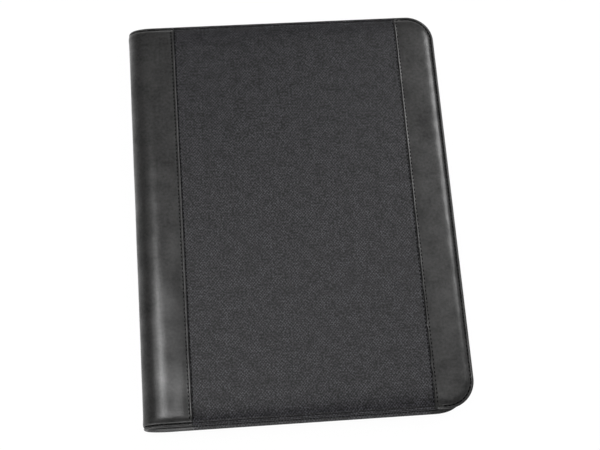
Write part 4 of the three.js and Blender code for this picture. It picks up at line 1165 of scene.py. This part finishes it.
def spine_band(name, inner, outer, ends, look, reach, run_on=0.0, half=True, plump=0.0, back=False):
    """A band round the spine's axis, from its middle up to an angle, and flat from there on."""
    angles = np.radians(np.linspace(0 if half else -reach, reach, 14 if half else 27))
    tips = [0.97, 0.99, 0.998, 1]
    y = np.concatenate([-np.array(tips[::-1]), np.linspace(-0.93, 0.93, 60), tips]) * (HALF_HEIGHT - ends)
    soft = np.sqrt(np.clip((HALF_HEIGHT - ends - np.abs(y)) / 0.4, 0.0, 1.0))
    middle, thick = (inner + outer) / 2, (outer - inner) / 2
    rings = []
    spots = [(angle, 0.0) for angle in angles]
    if run_on:
        spots += [(angles[-1], step) for step in np.linspace(0, run_on, 6)[1:]]
    for angle, step in spots:
        fold = ripple(y, np.full(len(y), angle * 14), 16.0, BAND_SEED) * 0.1
        swell = thick * soft * (1 + plump * math.cos(angle))
        radii = np.concatenate([middle + fold + swell, (middle + fold - swell)[::-1]])
        along = np.concatenate([y, y[::-1]])
        x = SPINE_CENTRE - radii * math.cos(angle) + step * math.sin(angle)
        z = MIDDLE + radii * math.sin(angle) - step * LAPPED_SLOPE
        rings.append(np.column_stack([x, along, z]))
    rings = np.array(rings)
    return loft(name, turned_over(rings, back), look, rings[..., [2, 1]])


LINING_BENDS = {"front": ("spine", "front", (-0.1245, 0, 0.0135), (-0.1150, 0, 0.0215)),
                "back": ("back", "spine", (-0.1150, 0, 0.0055), (-0.1245, 0, 0.0135))}

for cover, is_back, over_spine in COVERS:
    foam = stacked(f"{cover}_padding", foam_sections(), FOAM_LEFT, "foam", is_back)
    attach(foam, cover, "foam", f"{cover}_foam")
    lining = stacked(f"{cover}_cloth_lining", lining_sections(), LINING_LEFT, "lining", is_back, lining_wave)
    attach(lining, cover, "lining", f"{cover}_lining")
    band = spine_band(f"{cover}_spine_cloth", *LINING_BAND, "lining", 88.0, 2.6, back=is_back)
    attach(band, LINING_BENDS[cover], "lining", *([] if is_back else ["spine_lining"]))

padding = spine_band("spine_padding", *FOAM_BAND, "foam", 68.0, half=False, plump=0.15)
attach(padding, "spine", "foam", "spine_foam")


# Spine's end patches

def patch_relief(u, v, d):
    return 0.0, 0.18 * ease(0.8, 2.2, d) - 0.2 * ridge(1.1, 0.4, d)


for end, side in ENDS:
    patch = cloth_plate(f"spine_end_leather_{end}", rounded_outline(11, 8, 2, PATCH_X, MIDDLE), 0.0, 1.1,
                        "leather", patch_relief, 1.0, lambda points: stood_up(points, side, PATCH_LIFT))
    attach(patch, "spine", "leather", f"spine_end_patch_{end}")
    edge = closed_line(rounded_outline(8.6, 5.6, 1.2, PATCH_X, MIDDLE), 1.05)
    sewn(f"spine_end_stitches_{end}", [stood_up(np.array(edge), side, PATCH_LIFT)], "spine", length=1.3,
         thread=FINE_THREAD, pitch=1.8)


# Writing pad, its pocket and the pen loop

def pad_pocket_relief(u, v, d):
    """The sewn border lies on the lining, and the middle stands over the backing board."""
    low, high, bottom = PAD[0] - SLEEVE_SIDE, PAD[1] + SLEEVE_SIDE, PAD[2] - SLEEVE_SIDE
    side = np.minimum(np.minimum(u - low, high - u), v - bottom)
    lift = 1.15 * ease(1.5, 2.7, side)
    sewn_in = 0.12 * ridge(1.2, 0.4, side)
    hem = 0.12 * ease(0.0, 0.6, d) * (1 - ease(5.0, 5.6, SLEEVE_MOUTH - v))
    waves = 0.08 * ripple(u, v, 24.0, SLEEVE_SEED) * ease(6, 20, side)
    return lift + waves * 0.3, lift - sewn_in + hem + waves


def box(low_x, high_x, low_y, high_y):
    return [(low_x, low_y), (high_x, low_y), (high_x, high_y), (low_x, high_y)]


def sleeve_line():
    """The stitches down one side of the sleeve, along its bottom and up the other side."""
    low, high, bottom = PAD[0] - 1.6, PAD[1] + 1.6, PAD[2] - 1.6
    return [(x, y, SLEEVE_TOP) for x, y in ((low, 100), (low, bottom), (high, bottom), (high, 100))]


sleeve = box(PAD[0] - SLEEVE_SIDE, PAD[1] + SLEEVE_SIDE, PAD[2] - SLEEVE_SIDE, SLEEVE_MOUTH)
piece = cloth_plate("pad_sleeve", sleeve, 7.42, SLEEVE_TOP, "pocket", pad_pocket_relief, 4.0)
attach(piece, "back", "lining", "pad_pocket")
sewn("pad_sleeve_stitches", [sleeve_line(), [(PAD[0] - 1, 96, 9.35), (PAD[1] + 1, 96, 9.35)]], "back",
     length=1.9, thread=FINE_THREAD)


def paper_block():
    """The stack of sheets: its edges a little uneven, its corners slightly soft."""
    jitter = np.random.RandomState(SHEETS_SEED)
    rings = []
    heights = np.linspace(*SHEETS, 15)
    width, height = PAD[1] - PAD[0], PAD[3] - PAD[2]
    for i, z in enumerate(heights):
        inset = 0.12 if i in (0, len(heights) - 1) else jitter.uniform(0.0, 0.1)
        dx, dy = jitter.uniform(-0.06, 0.06, 2)
        line = rounded_outline(width - 0.2 - 2 * inset, height - 0.2 - 2 * inset, 0.8,
                               (PAD[0] + PAD[1]) / 2 + dx, (PAD[2] + PAD[3]) / 2 + dy, 4)
        rings.append([(x, y, z) for x, y in line])
    return loft("ruled_sheets", rings, "paper", crease=25)


attach(paper_block(), "back", "paper", "pad_sheets")


def bound_header():
    """The binding strip folded over the sheets' top edge, with a rounded fold."""
    outer = [(133.0, 14.4), (133.0, 14.0), (133.6, 14.0), (146.6, 14.0), (147.15, 13.7), (147.3, 13.2),
             (147.3, 7.45), (147.7, 7.45), (147.7, 13.3), (147.5, 13.9), (146.9, 14.4), (134.0, 14.44)]
    middle = np.linspace(PAD[0] + 2, PAD[1] - 2, 40)
    rings = []
    for x in (PAD[0], PAD[0] + 0.15, *middle, PAD[1] - 0.15, PAD[1]):
        sway = 0.05 * math.sin(x / 9.0) + 0.04 * math.sin(x / 3.7)
        rings.append([(x, y, z + (sway if y < 146 and z > 14.2 else 0)) for y, z in outer])
    return loft("pad_binding", rings, "binding")


attach(bound_header(), "back", "binding", "pad_header")


# The pen loop's section, as [place along Y, half thickness]
LOOP_TIP = (-12, 0.2), (-11.8, 0.42), (-10.8, 0.45)
LOOP_OUTER = *LOOP_TIP, (-6, 0.45), (0, 0.45), (6, 0.45), *((-y, w) for y, w in LOOP_TIP[::-1])
LOOP_INNER = *((-y, -w) for y, w in LOOP_TIP), (0, -0.45), *((y, -w) for y, w in LOOP_TIP[::-1])


def elastic_loop():
    """A ribbed elastic loop, flat where it is sewn to the lining."""
    centre_x, centre_y, centre_z = LOOP_AT
    rings = []
    for a in np.linspace(0, 2 * math.pi, 44, endpoint=False):
        c, s = math.cos(a), math.sin(a)
        out_x = math.copysign(abs(c) ** 0.85, c)
        out_z = math.copysign(abs(s) ** (0.45 if s < 0 else 0.85), s)
        middle = np.array([centre_x + LOOP_ACROSS * out_x, centre_z + LOOP_UP * out_z])
        ring = []
        for y, w in LOOP_OUTER + LOOP_INNER:
            x, z = middle + np.array([c, s]) * w
            ring.append((x, centre_y + y + 0.12 * math.sin(a * 9) * (abs(y) > 11), z))
        rings.append(ring)
    return loft("elastic_pen_loop", rings, "elastic", closed=True)


attach(elastic_loop(), "back", "elastic", "pen_loop")
sewn("pen_loop_stitches", [[(-108, y, 8.45), (-101, y, 8.45)] for y in (60.5, 79.5)], "back",
     length=1.2, thread=FINE_THREAD, pitch=1.6)


# Pockets inside the front cover. Their outer side faces down.

def bound_mouth(mouth):
    """Relief of a pocket: a hem along its mouth, a pulled-in seam, and a slack middle."""
    def relief(u, v, d):
        (x0, y0), (x1, y1) = mouth
        span = math.hypot(x1 - x0, y1 - y0)
        from_mouth = np.abs((x1 - x0) * (y0 - v) - (x0 - u) * (y1 - y0)) / span
        hem = 0.16 * (1 - ease(4.6, 5.2, from_mouth))
        seam = 0.1 * ridge(1.4, 0.5, d) * ease(4.0, 6.0, from_mouth)
        slack = 0.07 * ripple(u, v, 22.0, POCKET_SEED) * ease(3.0, 12.0, d)
        return -hem * ease(0, 0.4, d) + seam + slack, slack * 0.4
    return relief


def card_relief(u, v, d):
    return 0.08 * ridge(1.3, 0.5, d) - 0.12 * (1 - ease(0.8, 1.1, d)) * ease(0, 0.3, d), 0.0 * d


def film_relief(u, v, d):
    waves = 0.05 * ripple(u, v, 40.0, FILM_SEED) * ease(1, 8, d)
    return waves, waves


def pocket_turn(inset):
    """The document pocket's rounded corner, drawn in by inset."""
    x, y, radius = POCKET_CORNER
    return arc(x, y, radius - inset, np.linspace(-math.pi / 2, 0, 12))


high, low = (-103.0, 118.0), (120.0, 62.0)
outline = [(-103.0, -160.0), *pocket_turn(0.0), low, high]
piece = cloth_plate("document_pocket_cloth", outline, 19.0, 19.6, "pocket", bound_mouth((high, low)), 4.0)
attach(piece, "front", "lining", "document_pocket")
seam = [(-101.4, 116), (-101.4, -158.4), *pocket_turn(POCKET_SEWN), (118.4, 61.5)]
hem = [(-101.4, 113.2, 18.86), (118.4, 57.9, 18.86)]
sewn("document_pocket_stitches", [[(x, y, 18.98) for x, y in seam], hem], "front", thread=FINE_THREAD)

for i, height in enumerate(CARD_STEPS):
    top = height + CARD_BOTTOM
    high_z = CARD_TOP - i * CARD_LAYER
    low_z = high_z - CARD_CLOTH
    notch = [(CARD_MIDDLE + 12 * math.cos(a), top + 6 * math.sin(a)) for a in np.linspace(0, -math.pi, 15)]
    outline = [(CARD_LEFT, CARD_BOTTOM), (CARD_RIGHT, CARD_BOTTOM), (CARD_RIGHT, top), *notch,
               (CARD_LEFT, top)]
    piece = cloth_plate(f"card_pocket_cloth_{i + 1}", outline, low_z, high_z, "pocket", card_relief, 3.0)
    attach(piece, "front", "lining", f"card_pocket_{i + 1}")
    lines = [[(-87.7, top - 1), (-87.7, -6.7), (7.7, -6.7), (7.7, top - 1)],
             [(-87, top - 2), (-53.5, top - 2)], [(-26.5, top - 2), (7, top - 2)]]
    sewn(f"card_pocket_stitches_{i + 1}", [[(x, y, low_z) for x, y in line] for line in lines], "front",
         thread=CARD_THREAD)

# The window frame's section, as [inset, height]
FRAME_SECTION = (
    (0.0, 18.4), (0.15, 18.18), (1.0, 18.08), (1.6, 18.16), (2.4, 18.04), (4.6, 18.04), (5.4, 18.16),
    (6.0, 18.08), (6.85, 18.18), (7.0, 18.4), (6.85, 18.66), (6.0, 18.7), (1.0, 18.7), (0.15, 18.66))


def window_outline(inset, radius, steps=6):
    width, height = WINDOW_SIZE
    return rounded_outline(width - 2 * inset, height - 2 * inset, radius, *WINDOW_AT, steps)


def window_frame():
    """A leather frame with rounded, slightly padded bars."""
    sections = [[(x, y, z) for x, y in window_outline(inset, max(3 - inset * 0.15, 1.2), 7)]
                for inset, z in FRAME_SECTION]
    return loft("window_leather_frame", sections, "leather_trim", closed=True)


attach(window_frame(), "front", "leather", "id_window_frame")
for name, inset in (("outer", 1.6), ("inner", 5.4)):
    sewn(f"window_stitches_{name}", [closed_line(window_outline(inset, 2.0), 18.1)], "front",
         thread=CARD_THREAD)

piece = cloth_plate("window_film", box(-84.7, 4.7, -106.7, -49.3), 18.2, 18.6, "film", film_relief, 4.0)
attach(piece, "front", "clear_film", "id_window_film")


# Hard pieces: bevelled copies of their solids

def softened(node, name, width, look, body, slot):
    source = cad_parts[node].data
    work = bmesh.new()
    work.from_mesh(source)
    bmesh.ops.remove_doubles(work, verts=work.verts, dist=1e-6)
    bmesh.ops.dissolve_limit(work, angle_limit=math.radians(2), verts=work.verts, edges=work.edges)
    mesh = bpy.data.meshes.new(name)
    work.to_mesh(mesh)
    work.free()
    piece = in_scene(name, mesh)
    bevel = piece.modifiers.new("soft_edges", "BEVEL")
    bevel.width = width * MM
    bevel.segments = 3
    bevel.limit_method = "ANGLE"
    bevel.angle_limit = math.radians(25)
    bevel.harden_normals = True
    mesh.shade_smooth()
    mesh.materials.append(LOOKS[look])
    return attach(piece, body, slot, node)


for node, name, width, look, body, slot in (
        ("zip_slider", "zip_slider_body", 0.18, "metal", "slider", "zip_metal"),
        ("zip_pull", "zip_pull_tab", 0.22, "metal", "pull", "zip_metal"),
        ("zip_end_stop", "zip_bottom_stop", 0.35, "metal", "back", "zip_metal"),
        ("front_board", "front_stiffener", 0.2, "board", "front", "greyboard"),
        ("back_board", "back_stiffener", 0.2, "board", "back", "greyboard"),
        ("pad_backing_board", "pad_back_card", 0.12, "board", "back", "greyboard")):
    softened(node, name, width, look, body, slot)


# Room, light and camera

FLOOR_REACH = 6.0
FLOOR_WHITE, FLOOR_GLOW, GLOW_SHARE = (0.8, 0.8, 0.8, 1), 1.03, 0.94
CAMERA_PLACE = (-0.07331, -0.32427, 0.98636)
CAMERA_TURN = (18.17702, -3.12362, -4.34711)
CAMERA_LENS = 74.87

# Each lamp's place, what it points at, its size and its power
LAMPS = {
    "ceiling": ((0.6, 0.42, 2.1), (0.6, 0.42, 0), (1.05, 1.7), 4.0),
    "overhead": ((-0.46, 0.1, 1.92), (0, 0, 0), (0.28, 0.44), 7.6),
    "overhead_far": ((-0.6, 0.43, 1.87), (0, 0, 0), (0.28, 0.24), 2.8),
    "beside_overhead": ((-0.83, 0.2, 1.74), (0, 0, 0), (0.3, 0.64), 3.0),
    "right_side": ((1.42, 0.95, 1.7), (0, 0, 0), (0.8, 0.9), 22.5),
    "front": ((-0.6, -1.45, 0.5), (0, 0, 0), (2.0, 0.6), 14.0),
    "behind": ((-0.1, 1.9, 0.55), (0, 0, 0), (2.0, 0.7), 3.0),
}


def floor():
    """A white floor. It shows as evenly lit to the camera and in reflections, and is plain paint to light."""
    mesh = bpy.data.meshes.new("floor")
    mesh.from_pydata([(x, y, 0) for x, y in box(-FLOOR_REACH, FLOOR_REACH, -FLOOR_REACH, FLOOR_REACH)], [],
                     [(0, 1, 2, 3)])
    material = bpy.data.materials.new("white_floor")
    tree = emptied(material)
    painted = new_node(tree, "ShaderNodeBsdfDiffuse", {"Color": FLOOR_WHITE})
    glow = new_node(tree, "ShaderNodeEmission", {"Strength": FLOOR_GLOW})
    rays = tree.nodes.new("ShaderNodeLightPath").outputs
    seen = maths(tree, "MAXIMUM", rays["Is Camera Ray"], rays["Is Glossy Ray"])
    seen = maths(tree, "MAXIMUM", seen, rays["Is Transmission Ray"])
    mixed = new_node(tree, "ShaderNodeMixShader", {
        0: maths(tree, "MULTIPLY", seen, GLOW_SHARE), 1: painted.outputs[0], 2: glow.outputs[0]})
    new_node(tree, "ShaderNodeOutputMaterial", {0: mixed.outputs[0]})
    mesh.materials.append(material)
    in_scene("floor", mesh)


def soft_light(name, place, aim, size, power):
    lamp = bpy.data.lights.new(name, "AREA")
    lamp.shape = "RECTANGLE"
    lamp.size, lamp.size_y = size
    lamp.energy = power
    made = in_scene(name, lamp)
    made.location = place
    made.rotation_euler = (Vector(aim) - Vector(place)).to_track_quat("-Z", "Y").to_euler()


def studio_world():
    """A bright room that dims from a little above the horizon upwards. The camera sees it white."""
    world = bpy.data.worlds.new("studio")
    bpy.context.scene.world = world
    tree = emptied(world)
    parts = coordinates(tree, tree.nodes.new("ShaderNodeTexCoord").outputs["Generated"])
    level = spread(tree, parts["Z"], 0.16, 0.54, 0.9, 0.09)
    rays = tree.nodes.new("ShaderNodeLightPath").outputs
    shown = maths(tree, "MAXIMUM", level, rays["Is Camera Ray"])
    sky = new_node(tree, "ShaderNodeBackground", {"Strength": shown})
    new_node(tree, "ShaderNodeOutputWorld", {0: sky.outputs[0]})


def camera():
    lens = bpy.data.cameras.new("camera")
    lens.sensor_width = 36.0
    lens.lens = CAMERA_LENS
    lens.clip_start, lens.clip_end = 0.05, 50.0
    made = in_scene("camera", lens)
    made.location = CAMERA_PLACE
    made.rotation_euler = [math.radians(a) for a in CAMERA_TURN]
    bpy.context.scene.camera = made


floor()
studio_world()
for name, values in LAMPS.items():
    soft_light(name, *values)
camera()
bpy.context.scene.view_settings.view_transform = "Standard"
